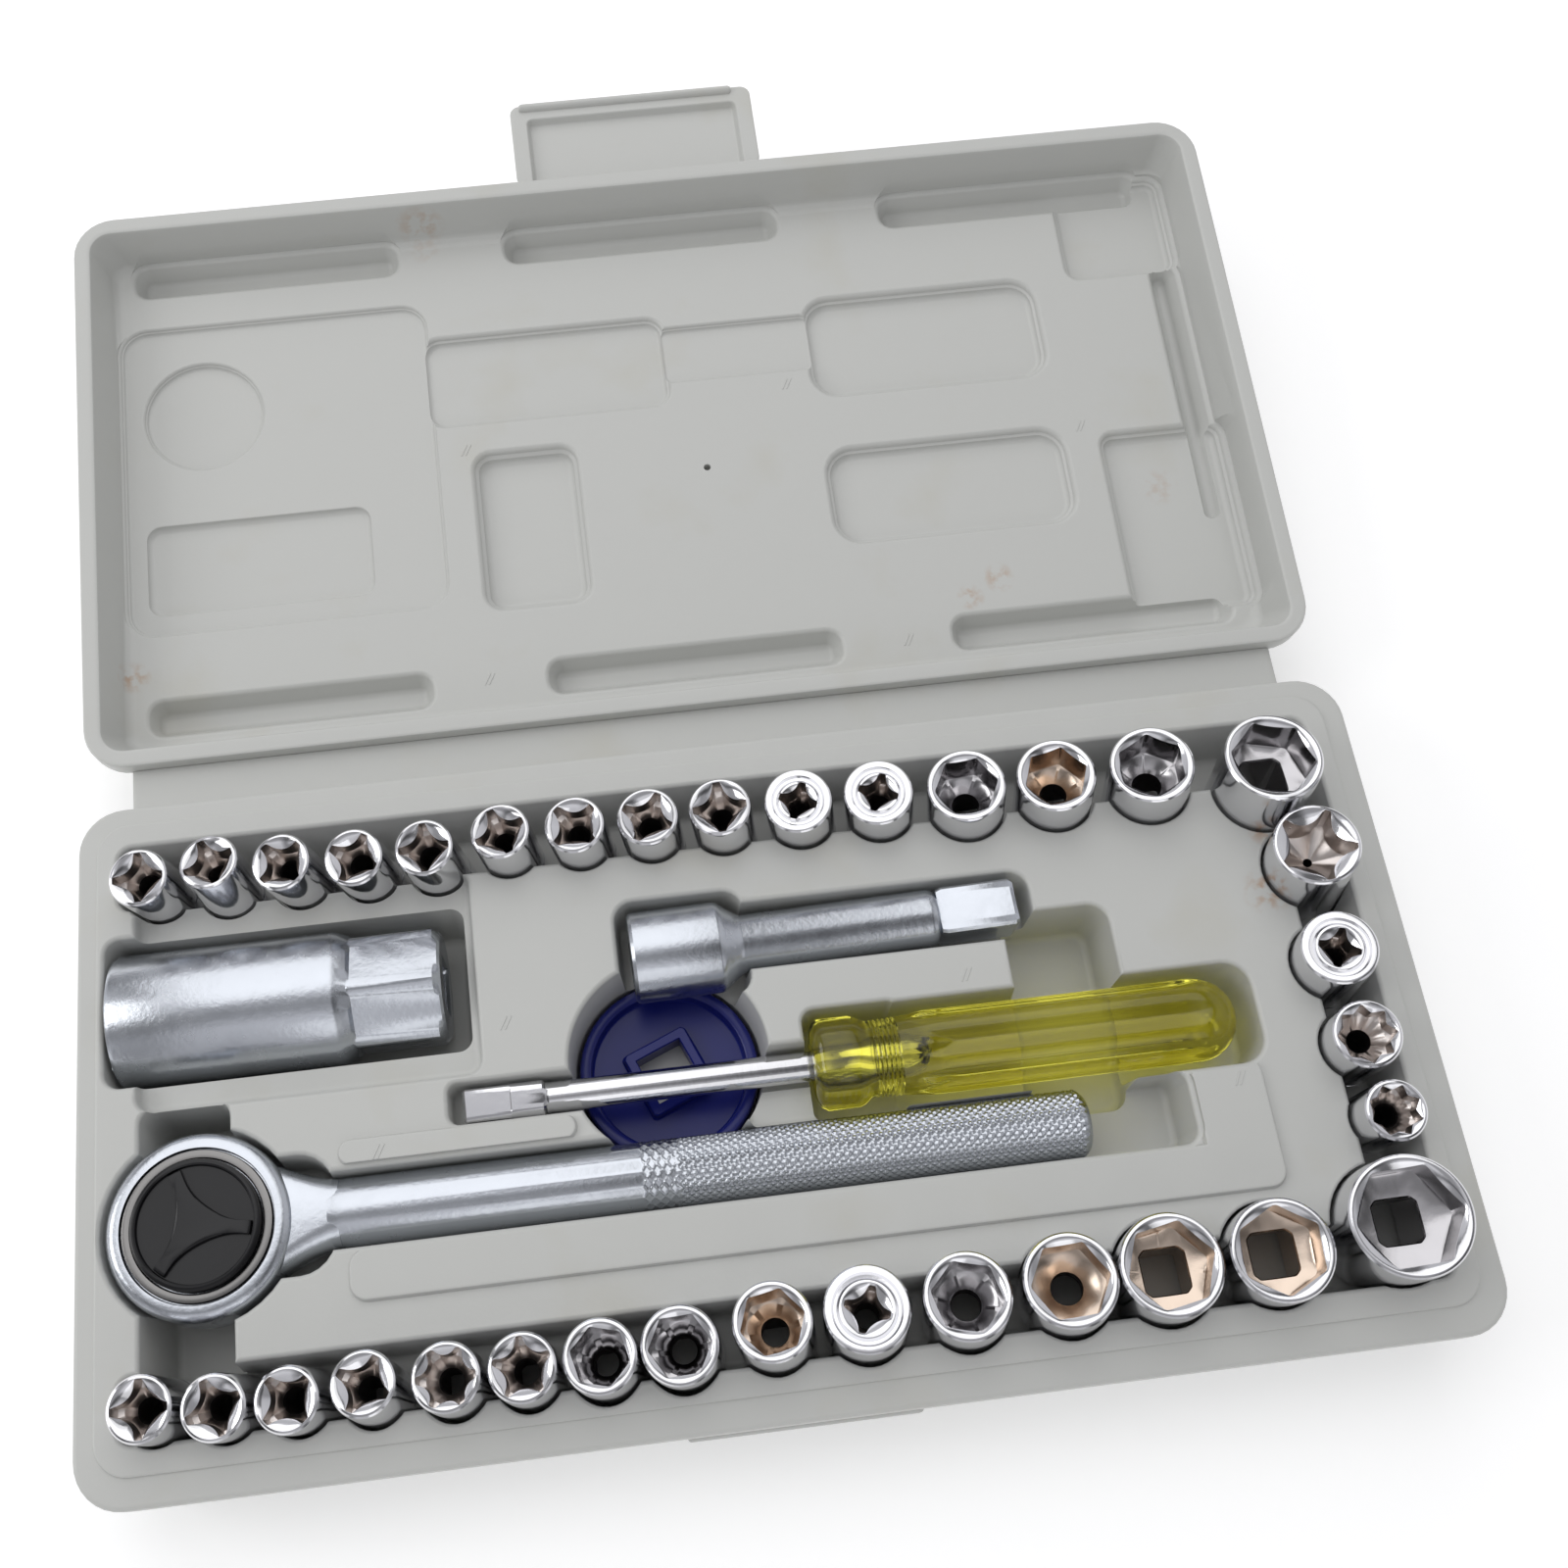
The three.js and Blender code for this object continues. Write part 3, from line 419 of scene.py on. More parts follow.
SOCKETS = [
    # x, y, diameter, size of hole, points of hole, lean left, lean back, kind
    (-114.7, 47.8, 11.7, 8.8, 4, 6, -3, "star"), (-101.1, 47.9, 11.7, 8.8, 4, 6, 7, "star"),
    (-86.9, 47.5, 11.7, 8.8, 4, 8, -2, "star"), (-73.1, 47.1, 11.7, 8.8, 4, 6, -4, "star"),
    (-59.4, 47.1, 11.7, 9, 4, 6, -1, "star"), (-44.4, 48.1, 11.8, 9, 4, 6, 3, "star"),
    (-29.8, 48, 12, 9.2, 4, 6, 1, "star"), (-15.5, 48, 12.2, 9.2, 4, 5, 1, "star"),
    (-1, 48, 12.4, 9.4, 4, 6, 3, "star"), (14.7, 48, 13.5, 8, 4, 7, -1, "ring"),
    (30.7, 47.7, 13.8, 8, 4, 7, 0, "ring"), (48.3, 46.6, 15.6, 11, 6, 7, 3, "hex"),
    (66.4, 46.6, 15.7, 11, 6, 7, 3, "copper"), (85.8, 46.4, 16.7, 12, 6, 7, 4, "hex"),
    (108.6, 43.4, 19.4, 14.5, 6, 2, 7, "hex tall"), (113.4, 25.2, 16.8, 12.6, 5, 7, 3, "star tall"),
    (113, 5.4, 14.8, 8, 4, 6, 2, "ring"), (113.7, -11.3, 13.1, 9.8, 8, 5, 0, "star"),
    (115, -25.6, 11.6, 8.6, 8, 4, -2, "star"), (111.8, -45, 22.2, 17, 6, 6, -1, "hex tall"),
    (-115.3, -50.2, 11.8, 8.8, 4, 3, 0, "star"), (-102.7, -51.2, 11.7, 8.8, 4, 2, -2, "star"),
    (-89.8, -51.6, 11.7, 9, 4, 4, -1, "star"), (-76.5, -51.6, 11.8, 9, 4, 4, 6, "star"),
    (-62.3, -51.8, 12.4, 9.4, 6, 3, 3, "star"), (-49, -51.8, 12.4, 9.6, 5, 3, 3, "star"),
    (-35.2, -51.6, 13.4, 9.4, 6, 4, 3, "hex"), (-21.1, -51.2, 14.1, 10, 6, 4, 1, "hex"),
    (-4.3, -50, 14.5, 10.4, 6, 5, 6, "copper"), (12.5, -49.6, 15.8, 8.4, 4, 4, 4, "ring"),
    (30.8, -49.6, 16, 11.5, 6, 6, 4, "hex"), (49.6, -49, 17.1, 12.5, 6, 7, 3, "copper"),
    (67.9, -48.4, 18.7, 14, 6, 6, 2, "copper"), (88.3, -47.8, 18.6, 14, 6, 7, -1, "copper"),
]


def slopes(left, back):
    """How far a leaning axis moves in x and y for each millimetre it rises."""
    return -math.tan(math.radians(left)), math.tan(math.radians(back))

# %% [markdown]
# The real tray is a thin double-walled shell. Only its faces are seen, so here it is one solid: a
# stack of outlines from its foot to its lip, with three raised bars added and then a pocket cut for
# each tool and a leaning well for each socket. A solid can be cut safely again and again.

# %% Tray outline and bars
def half_body(name, levels):
    """A stack of round-cornered outlines, each given as height, left, right, front and back insets
    from the case's 260 by 132 outline, and corner radius."""
    rows = [layer(rounded(-130 + l, 130 - r, -66 + f, 66 - b, c, 8), z) for z, l, r, f, b, c in levels]
    return make_object(name, skin(rows))


def side_levels(z0, z1):
    """The outer wall from its rounded foot at z0 up to z1, as levels for half_body."""
    wall = [(0, 6.5), (0.25, 5.3), (1.0, 4.1), (2.3, 3.2), (3.8, 2.7), (13.6, 1.4), (14.8, 1.1),
            (15.7, 0.35), (16.8, 0.05)]
    return [(z0 + z, i, i, i, i, 9 - 0.5 * i) for z, i in wall if z + z0 < z1]


levels = side_levels(0, RIM) + [
    (23.2, 0, 0, 0, 0, 9), (23.7, 0.15, 0.15, 0.15, 0.15, 8.9), (23.95, 0.5, 0.5, 0.5, 0.5, 8.6),
    (RIM, 1, 1, 1, 1, 8.2), (RIM, 3.6, 4.4, 5.0, 3.6, 6.6), (24.1, 3.8, 4.6, 5.3, 3.8, 6.3),
    (24.6, 3.95, 4.75, 5.45, 3.95, 6.2), (FACE, 4.3, 5.1, 5.8, 4.3, 6)]
tray = half_body("tray_shell", levels)
blocks = []
for k, (x0, x1, y0, y1) in enumerate(RIDGES):
    rise = [(22, 0), (FACE + 0.1, 0), (RIDGE - 0.5, 0.2), (RIDGE - 0.15, 0.4), (RIDGE, 0.8)]
    rows = [layer(rounded(x0 + o, x1 - o, y0 + o, y1 - o, 3.5 - o), z) for z, o in rise]
    blocks.append(make_object(f"ridge {k}", skin(rows)))
carve(tray, blocks, "UNION")
print("tray levels", len(levels), "raised bars", len(blocks))

# %% Pockets and wells
cutters = [pocket(f"pocket {k}", p, FACE) for k, p in enumerate(TRAY_POCKETS)]
for k, (x, y, diameter, _, _, left, back, _) in enumerate(SOCKETS):
    cutters.append(well(f"well {k}", x, y, diameter / 2 + WELL_GAP, CHANNEL, FACE, slopes(left, back),
                        draft=0, flare=0.7))
cutters.append(well("head well", *RATCHET[:2], 18.3, 11.7, FACE))
cutters.append(well("square well", *RATCHET[:2], 8, 2.2, FACE))
cutters.append(make_object("vent", skin(lathe([(-1, 1.5), (4, 1.5)], 24) + (108, -20, 0))))
cutters.append(well("wheel well", -17.4, 2.2, 19.2, 5.2, FACE, count=72))
carve(tray, cutters)
print("pockets and wells", len(cutters))

# %% Sprung wall and catch bar
points = np.empty(len(tray.data.vertices) * 3)
tray.data.vertices.foreach_get("co", points)
points = points.reshape(-1, 3)
# The long front wall has sprung outward: a shallow parabola along x that fades out behind it.
HALF_WIDTH, BOW, BOW_STARTS, BOW_FADES = 0.13, 0.0014, 0.057, 0.006
near_wall = np.clip((-points[:, 1] - BOW_STARTS) / BOW_FADES, 0, 1)
points[:, 1] -= BOW * (np.clip(1 - (points[:, 0] / HALF_WIDTH) ** 2, 0, 1) * near_wall)
tray.data.vertices.foreach_set("co", points.ravel())
catch = [(8.45, 0.5), (8.8, 0.15), (9.3, 0), (11.1, 0), (11.6, 0.15), (11.95, 0.5)]
catch = [layer(rounded(-22 + o, 22 - o, -66.6 + o, -63, 0.8), z) for z, o in catch]
carve(tray, [make_object("catch bar", skin(catch))], "UNION")
dress(tray, shell, "tray", ["tray_half"])
print("tray", len(tray.data.polygons), "faces")

# %% [markdown]
# The spine is a thin strip between two folds, a little thicker along both folds and with one bead
# under its middle. It could be cut from a plate, but its section is the same all along, so it is
# drawn once and carried from end to end. A matrix leans it about the fold.

# %% Spine
fold = Vector((0, 66.3, 17.5))
half_turn, full_turn = math.radians(2.5), math.radians(5)
SPINE_WIDTH = 10.15
spine_frame = Matrix.Translation(fold) @ Matrix.Rotation(half_turn, 4, "X")
lid_fold = spine_frame @ Vector((0, SPINE_WIDTH, 0))
lid_turn = Matrix.Rotation(full_turn, 4, "X")
lid_frame = Matrix.Translation(lid_fold) @ lid_turn @ Matrix.Translation((0, 66.3, 3.5))

section = np.array([
    (-0.75, -0.4), (-0.75, -1.0), (-0.2, -1.5), (0.8, -1.35), (4.4, -1.3), (5.1, -1.75), (5.8, -1.3),
    (9.3, -1.35), (10.3, -1.5), (10.85, -1.0), (10.85, -0.4), (10.3, 0.1), (9.3, 0.0), (5.8, -0.05),
    (4.4, -0.05), (0.8, 0.0), (-0.2, 0.1)])
rows = []
STRIP_ENDS = [(-121, 0.2), (-120.9, 0.6), (-120.5, 0.9), (-119.8, 1), (119.8, 1), (120.5, 0.9), (120.9, 0.6),
              (121, 0.2)]
for x, size in STRIP_ENDS:
    around = (section - (5.05, -0.7)) * (1 - (1 - size) * 0.12, size) + (5.05, -0.7)
    rows.append(np.column_stack([np.full(len(section), x), around]))
spine = make_object("spine_strip", skin(rows), spine_frame)
dress(spine, shell, "spine", ["spine"])
print("spine", len(spine.data.polygons), "faces")

# %% [markdown]
# The lid is a second tray with a shallow hollow and some recesses for what stands proud of the first
# tray. It could be modelled at its lean, but its numbers are simple when it lies flat, so it is cut
# flat and a matrix then carries it past the spine to its place.

# %% Lid half

LID_POCKETS = [
    (-123.0, -53, -33, 43, -12.5, 6), (-119.5, -68.5, -28.5, -5.5, -14, 4), (-54.5, 1, 11, 33.5, -13.3, 4),
    (0, 35, 16.5, 30.5, -12.5, 2), (34, 88.5, 9, 34, -13.8, 6), (34, 88.5, -28, -5, -13.8, 6),
    (-45, -22, -35, 3, -14.5, 4), (97, 124.4, -52.4, -8, -14, 3), (97.5, 123.2, 33, 58, -13.5, 3),
    (117, 122.5, -31, 34, -16, 2.5),
]
SLOTS_ALONG, SLOTS_ACROSS = [(-119, -58.5), (-33, 31), (56, 118)], [(52, 59.5), (-56, -48.5)]
LID_POCKETS += [(x0, x1, y0, y1, -16, 3) for x0, x1 in SLOTS_ALONG for y0, y1 in SLOTS_ACROSS]


def carry(obj, frame_matrix):
    """Moves a mesh that is in metres by a matrix whose lengths are in millimetres."""
    for step in (Matrix.Scale(1000, 4), frame_matrix, Matrix.Scale(MM, 4)):
        obj.data.transform(step)


levels = side_levels(-19, -4.6) + [
    (-4.8, 0.1, 0.1, 0.1, 0.1, 9), (-4, 0, 0, 0, 0, 9), (-0.8, 0, 0, 0, 0, 9),
    (-0.25, 0.2, 0.2, 0.2, 0.2, 8.9), (0, 0.7, 0.7, 0.7, 0.7, 8.5)]
lid = half_body("lid_shell", levels)
hollow = [layer(rounded(-130 + i, 130 - i, -66 + i, 66 - i, max(3.6, 5.8 - 0.3 * i), 8), z) for z, i in [
    (-11, 8.6), (-10.8, 7.4), (-10.2, 6.5), (-9.2, 5.9), (-1, 3.9), (-0.35, 3.6), (0.02, 2.9), (6, 2.9)]]
cutters = [make_object("hollow", skin(hollow))]
cutters += [pocket(f"recess {k}", p, -11, fillet=1.6, flare=1.3, draft=12) for k, p in enumerate(LID_POCKETS)]
cutters.append(well("head recess", -105, 20.5, 13.4, -14, -12.5, fillet=0.8, flare=0.7, draft=10))
cutters.append(well("blow hole", 7.1, -6, 0.8, -13.5, -11, fillet=0.1, flare=0.0, draft=0, count=24))
carve(lid, cutters)
carry(lid, lid_frame)
dress(lid, shell, "lid", ["lid_half"])

print("lid", len(lid.data.polygons), "faces")

# %% [markdown]
# The latch flap is a small plate on the lid's far wall with a sunk panel and a rolled lip that
# catches on the tray. It could be part of the lid, but it turns on its own fold, so it is a piece of
# its own, cut like the lid and carried by the lid's matrix and a shift.

# %% Latch flap
flap_frame = lid_frame @ Matrix.Translation((0, 66.6, -2.2))
rows = [layer(rounded(-28.5 + i, 28.5 - i, 0.1 + i * 0.3, 22 - i, 2.2), z) for z, i in [
    (-3.6, 1.5), (-3.3, 1.0), (-2.6, 0.7), (-1.0, 0), (-0.75, 0.1), (-0.6, 0.5)]]
flap = make_object("flap_plate", skin(rows))
panel = pocket("panel", (-24.6, 24.6, -4, 17.8, -2.4, 1.2), -0.6, fillet=0.6, flare=0.5, draft=12)
carve(flap, [panel])
theta = angles(20)
lip = []
for x, size in [(-26.4, 0.3), (-26.2, 0.8), (-25.6, 1), (23.4, 1), (23.9, 0.8), (24.1, 0.3)]:
    lip.append(np.stack([np.full(20, x), 21 + size * np.cos(theta), -0.7 + 1.35 * size * np.sin(theta)], 1))
carve(flap, [make_object("lip", skin(lip))], "UNION")
carry(flap, flap_frame)
dress(flap, shell, "latch", ["latch_flap"])
print("flap", len(flap.data.polygons), "faces")

# %% [markdown]
# The mould's vents leave pairs of short slanting lines on the flat faces. They stand a tenth of a
# millimetre proud, so they are real ridges here and not bump.

# %% Vent marks
def marks(name, places, top, matrix, body):
    """Pairs of fine slanting lines that the mould leaves proud of the plastic."""
    parts = []
    for x, y in places:
        for side in (-0.45, 0.45):
            rows = [layer(rounded(-0.16 + i, 0.16 - i, -1.5 + i, 1.5 - i, 0.12, 2), z)
                    for z, i in [(-0.2, 0), (0.06, 0), (0.12, 0.05)]]
            points, faces = skin(rows)
            turned = Matrix.Translation((x + side, y, top)) @ Matrix.Rotation(math.radians(-28), 4, "Z")
            m = np.array(turned)
            parts.append((points @ m[:3, :3].T + m[:3, 3], faces))
    return dress(make_object(name, joined(parts), matrix), shell, body)


marks("tray_marks", [(-47.8, 12.4), (42, 11.3)], FACE, Matrix(), "tray")
marks("ridge_marks", [(-73.3, -9.5), (89.7, -15.3)], RIDGE, Matrix(), "tray")
LID_MARKS = [(-46.5, 4.3), (-46, -51.2), (27.8, 13), (45.8, -52.5), (93, -5.2)]
marks("lid_marks", LID_MARKS, -11, lid_frame, "lid")
print("vent marks", 4 + len(LID_MARKS))

# %% [markdown]
# ## Sockets
# A socket is a turned steel cup with a broached mouth at one end and a square at the other, plated
# bright. It could be a cylinder with two booleans, but a boolean leaves no rolled lead-in at the rim.
# Instead one skin runs up the outside, over the lip, down the shaped mouth, across its floor and out
# through the square at the foot, so each socket is one closed surface, open right through.

# %% Shape of a mouth
LEAD_SLOPE, ROUND = 0.6, 96
# A star's waist and the centre of its bites, as multiples of the tip's radius.
STARS = {4: (0.6, 1.56), 5: (0.64, 1.3), 6: (0.72, 1.2)}


def mouth_of(k, r, size, points, kind):
    """The radius of a mouth at each angle, with its depth, the bore below it and the radius where its
    lead-in starts. An 8-point mouth is the larger of two squares that are turned by 45 degrees."""
    if "star" in kind:
        tip, spin = r - 0.85, math.pi / points + 0.35 * (k % 4)
        if points == 8:
            first, second = (ngon(tip * math.sqrt(2), 4, spin + a, 2) for a in (0, math.pi / 4))
            mouth = lambda t: np.maximum(first(t), second(t))
        else:
            waist, centre = STARS[points]
            mouth = bitten(waist * tip, tip, points, spin, centre * tip)
        return (mouth, 8.0, 0.8, r - 0.8) if "tall" in kind else (mouth, 4.6, 2.2, r - 0.7)
    if "ring" in kind:
        return bitten(size * 0.31, size / 2, points, 0.4, size * 0.8), 6.0, 2.2, r - 3.2
    bore = ngon(8.2, 4, 0.0, 1.24) if 2 * r > 18 else min(2.9, size * 0.24)
    return ngon(size, 6, 0.3 * (k % 4) - 0.35, 1.13), 8.5, bore, r - 0.95


print("star mouths", sum("star" in row[-1] for row in SOCKETS))

# %% Profile of a socket
def socket_profile(k, diameter, size, points, kind):
    """A socket's stations in four stretches: outside, lead-in, walls of the mouth, and the way through
    to the foot. The lead-in rolls over from the rim and drops by the lead slope for each millimetre
    that it runs inward."""
    r, big = diameter / 2, diameter > 15
    length = 27.5 if "tall" in kind else 25.0
    mouth, depth, bore, lead = mouth_of(k, r, size, points, kind)
    square = ngon(9.6 if big else 6.5, 4, 0.0, 1.36)
    outside = [(0, r - 0.6), (0.15, r - 0.25), (0.6, r)]
    outside += [(8.2, r), (8.35, r - 0.12), (8.65, r - 0.12), (8.8, r)] if not big else []
    outside += [(length - 0.9, r), (length - 0.4, r - 0.12), (length - 0.1, r - 0.4), (length, r - 0.75)]
    if "ring" in kind:
        outside += [(length - 0.05, r - 1.5), (length - 0.6, r - 1.9), (length - 0.65, r - 2.4),
                    (length - 0.1, r - 2.9)]
    run = lambda t: np.maximum(0.1, lead - mouth(t))
    lead_in = [(lambda t, f=f: length - 0.03 - LEAD_SLOPE * run(t) * f ** 1.6,
                lambda t, f=f: np.maximum(mouth(t) + 0.1, lead) - run(t) * f)
               for f in (0, 0.25, 0.5, 0.75, 1)]
    lead_in.append((lambda t: length - 0.35 - LEAD_SLOPE * run(t), mouth))
    under = length - depth
    if callable(bore):
        walls = [(under, mouth), (under - 0.3, lambda t: np.minimum(mouth(t) * 0.94, size * 0.49)),
                 (under - 0.6, lambda t: bore(t) + 0.25)]
        through = [(under - 0.9, bore), (0.4, square)]
    else:
        cone = lambda t: np.minimum(mouth(t) * 0.94, max(size * 0.45, bore + 0.2))
        walls = [(under, mouth), (under - 0.25, lambda t: np.maximum(cone(t), bore + 0.15)),
                 (under - 2.2, bore + 0.1)]
        through = [(under - 2.5, bore), (under - 4, bore), (10.5, bore), (10.2, square), (0.4, square)]
    through.append((0, lambda t: square(t) + 0.3))
    return outside, lead_in, walls, through


print("stations of socket 15", [len(stretch) for stretch in socket_profile(14, 19.4, 14.5, 6, "hex tall")])

# %% Sockets in their wells
axis_of = {joint["child"]: Vector(joint["axis"]).normalized() for joint in frame["joints"]}
for k, (x, y, diameter, size, points_of, _, _, kind) in enumerate(SOCKETS):
    name = f"socket_{k + 1:02d}"
    axis = axis_of[name]
    foot = CHANNEL + 0.3 + diameter / 2 * math.sin(math.acos(min(1, axis.z)))
    base = Vector((x, y, FACE)) + axis * ((foot - FACE) / axis.z)
    turn = Vector((0, 0, 1)).rotation_difference(axis).to_matrix().to_4x4()
    outside, lead_in, walls, through = socket_profile(k, diameter, size, points_of, kind)
    sections = lathe(outside + lead_in + walls + through, ROUND)
    placed = Matrix.Translation(base) @ turn
    piece = make_object(f"socket_piece_{k + 1:02d}", skin(sections, wrap=True), placed, 28)
    dress(piece, chrome, name, [name])
    piece.data.materials.append(copper if "copper" in kind else hex_wall_shade if "hex" in kind else lining)
    piece.data.materials.append(bore_painted_shade)
    # Each ring of faces takes the finish of its stretch. The near black of a round bore and the darker walls
    # of a hexagon mouth are painted shade. A square bore takes the walls' colour.
    ring = np.arange(len(piece.data.polygons)) // ROUND
    first_wall = len(outside) + len(lead_in) - 1
    shade = np.zeros(len(ring), np.int32)
    shade[ring >= first_wall] = 1
    shade[ring >= first_wall + len(walls)] = 1 if callable(through[0][1]) else 2
    shade[ring == len(sections) - 1] = 0
    piece.data.polygons.foreach_set("material_index", shade)
print("sockets", len(SOCKETS))

# %% [markdown]
# ## Ratchet
# The ratchet is a forged and turned steel bar with a round head, plated satin zinc. Its grip has a
# diamond knurl, which two crossing families of helical grooves press into the steel, and a narrow
# band of raised lines where it starts. A bump map would look flat at the grip's outline, so the
# knurl is part of the radius of the mesh itself.

# %% Knurl
def along_x(part_sections):
    """Turns sections made round +Z so that they run along +X."""
    s = np.asarray(part_sections)
    return np.stack([s[..., 2], s[..., 1], -s[..., 0]], -1)


def knurled(x, theta, radius, pitch, starts, depth, lines=False):
    """Radius of a knurl made by two helices of opposite hand. Each helix is a saw-tooth from 0 at a
    groove to 1 between grooves. The lower of the two gives diamonds; lines=True keeps the higher of
    their narrow crests, which leaves a net of thin raised lines."""
    a = np.abs(((x / pitch + theta * starts / (2 * math.pi)) % 1) * 2 - 1)
    b = np.abs(((x / pitch - theta * starts / (2 * math.pi)) % 1) * 2 - 1)
    if lines:
        return radius - depth * (1 - np.clip(3 * np.maximum(a, b) - 2, 0, 1))
    return radius - depth * (1 - np.minimum(1, 1.4 * np.minimum(a, b)))


print("knurl's groove and crest", knurled(np.array([1, 0]), 0, 6.5, 2, 26, 0.3))

# %% Ratchet head, neck and grip
head = lathe([(-7, 3), (-7, 15.2), (-6.7, 16.2), (-5.8, 17), (-5, 17.2), (5, 17.2), (5.8, 17), (6.7, 16.2),
              (7, 15.3), (7, 14.3), (6.4, 14.15), (5.6, 14.1), (5.6, 3)], ROUND)
neck = []
for t in np.linspace(0, 1, 12):
    x = 4 + 21.5 * t
    wide = 6.3 + 9.4 * (1 - t) ** 1.5
    tall = 5.6 + 0.3 * t
    ease = 2.2 + 2.6 * t
    outline = rounded(-wide, wide, -tall, tall, ease, 5)
    neck.append(np.column_stack([np.full(len(outline), x), outline]))
grip_x = np.concatenate([[23.5, 24.5, 25.2, 27, 81.6], np.linspace(82, 88.5, 31), [88.9],
                         np.linspace(89.2, 165.8, 316), [166.4, 167.2, 167.5]])
theta = angles(208)
X, T = np.meshgrid(grip_x, theta, indexing="ij")
plain = np.interp(grip_x, [23.5, 24.5, 25.2, 27, 165.8, 166.4, 167.2, 167.5],
                  [6.2, 6.3, 6.45, 6.5, 6.5, 6.2, 5.5, 5.0])[:, None] + 0 * T
fine = knurled(X - 89.2, T, 6.55, 1.7022, 26, 0.34)
open_band = knurled(X - 82, T, 6.6, 1.95, 16, 0.22, lines=True)
R = np.where((X > 89) & (X < 165.9), fine, np.where((X > 81.9) & (X < 88.7), open_band, plain))
grip = np.stack([X, R * np.cos(T), R * np.sin(T)], -1)
body = make_object("ratchet_shape", joined([skin(head), skin(neck), skin(grip)]), Matrix.Translation(RATCHET))
dress(body, zinc, "ratchet", ["ratchet_body"])

print("ratchet grip", len(body.data.polygons), "faces")

# %% Retaining ring, reversing cap and drive square
ring = lathe([(5.0, 12.1), (6.8, 12.15), (7.15, 12.4), (7.25, 13.1), (7.1, 13.75), (6.7, 13.9),
              (5.0, 13.9)], ROUND)
ring = make_object("head_ring", skin(ring, wrap=True), Matrix.Translation(RATCHET))
dress(ring, ring_steel, "ratchet", ["retaining_ring"])

CAP_ROUND = 240
cap = lathe([(5.7, 11.95), (8.4, 11.95), (8.9, 11.8), (9.1, 11.4), (9.1, 11.1), (8.9, 10.8), (8.1, 10.6),
             (8.0, 5)], CAP_ROUND)
t = angles(CAP_ROUND)
arms = bitten(3.4, 10.1, 3, math.radians(50))(t)
lever = []
for z, grow in [(7.8, 0.45), (8.7, 0.3), (8.95, 0.15), (9.07, -0.1), (9.1, -0.4)]:
    lever.append(np.stack([(arms + grow) * np.cos(t), (arms + grow) * np.sin(t), np.full(CAP_ROUND, z)], 1))
cap = make_object("cap_and_lever", joined([skin(cap), skin(lever)]), Matrix.Translation(RATCHET))
dress(cap, black, "ratchet_cap", ["reversing_cap"])
square = ngon(9.5, 4, 0, 1.33)
drive = lathe([(-16.3, lambda a: square(a) - 0.5), (-15.8, square), (-7.6, square), (-7.6, 7.4), (-7.4, 7.7),
               (-7.04, 7.7)], ROUND)
drive = make_object("drive_square", skin(drive), Matrix.Translation(RATCHET))
dress(drive, zinc, "ratchet_drive", ["drive_gear"])
print("cap", len(cap.data.polygons), "drive square", len(drive.data.polygons), "faces")

# %% [markdown]
# The extension bar is turned steel: a thick socket end with a square hole, a shoulder, a round shank
# and a square end. It could be joined from cylinders and boxes, but those leave seams. Here each is a
# stretch of one profile, whose radius is a number where the bar is round and a square's radius at
# each angle where it is square.

# %% Extension bar
EXTENSION = Matrix.Translation((-22.5, 23.4, 20.5)) @ Matrix.Rotation(math.radians(1.2), 4, "Z")
square = ngon(9.5, 4, 0, 1.33)
socket_square = ngon(9.6, 4, 0, 1.36)
bar = lathe([(12, socket_square), (0.4, socket_square), (0, lambda a: socket_square(a) + 0.3), (0, 8.0),
             (0.2, 8.6), (0.8, 9), (17.2, 9), (17.9, 8.8), (18.6, 8.3), (21.2, 6.3), (22.3, 5.75),
             (59.6, 5.75), (60.6, 5.6), (61.2, 5.2), (61.4, 4.9), (61.5, lambda a: square(a) * 0.92),
             (62.6, square), (76.2, square), (77, lambda a: square(a) - 0.6)], ROUND)
bar = make_object("extension_shape", skin(along_x(bar)), EXTENSION)
dress(bar, zinc, "extension", ["extension_bar"])
print("extension bar", len(bar.data.polygons), "faces")

# %% [markdown]
# The spinner is a plated shaft with a 1/4 inch square and a handle of clear yellow acetate, which has
# a lobed collar, a ringed neck and six flutes. Booleans could cut the flutes, but their ends would be
# sharp. So the handle is one radius over length and angle: a base curve with small waves added and
# the flutes and lobes taken away. It is solid with real transmission, so the shaft in it shows.

# %% Spinner
SPINNER = Matrix.Translation((-57.3, -2, 20))
square = ngon(6.35, 4, 0.12, 1.33)
block = ngon(6.7, 4, 0.12, 1.2)
shaft = lathe([(0, lambda a: square(a) - 0.5), (0.5, square), (9, square), (9.2, block), (15.2, block),
               (15.8, 3.1), (16.4, 2.95), (86, 2.95), (89, 2.2), (90, 1.4)], 64)
shaft = make_object("shaft_and_square", skin(along_x(shaft)), SPINNER)
dress(shaft, chrome, "spinner", ["spinner_shaft"])
grip_x = np.concatenate([[67.3, 67.5, 68.1, 69.2, 75.4, 76.6, 77.8, 78.6], np.linspace(79, 84, 41),
                         np.linspace(84.5, 142.7, 60),
                         150.7 - 8.2 * (1 - np.sin(np.linspace(0.1, math.pi / 2 - 0.06, 14)))])
theta = angles(144)
X, T = np.meshgrid(grip_x, theta, indexing="ij")
base = np.interp(grip_x, [67.3, 67.5, 68.1, 69.2, 75.4, 76.6, 77.8, 79, 84, 90, 142.7],
                 [5.5, 6.8, 8.2, 9, 9, 8.5, 7.6, 7.3, 7.5, 8.25, 8.25])
dome = 8.25 * np.sqrt(np.maximum(0, 1 - ((grip_x - 142.5) / 8.25) ** 2))
base = np.where(grip_x > 142.7, dome, base)[:, None]
ribs = 0.18 * np.sin((X - 79) * 2 * math.pi / 0.9) * ((X > 79) & (X < 84))
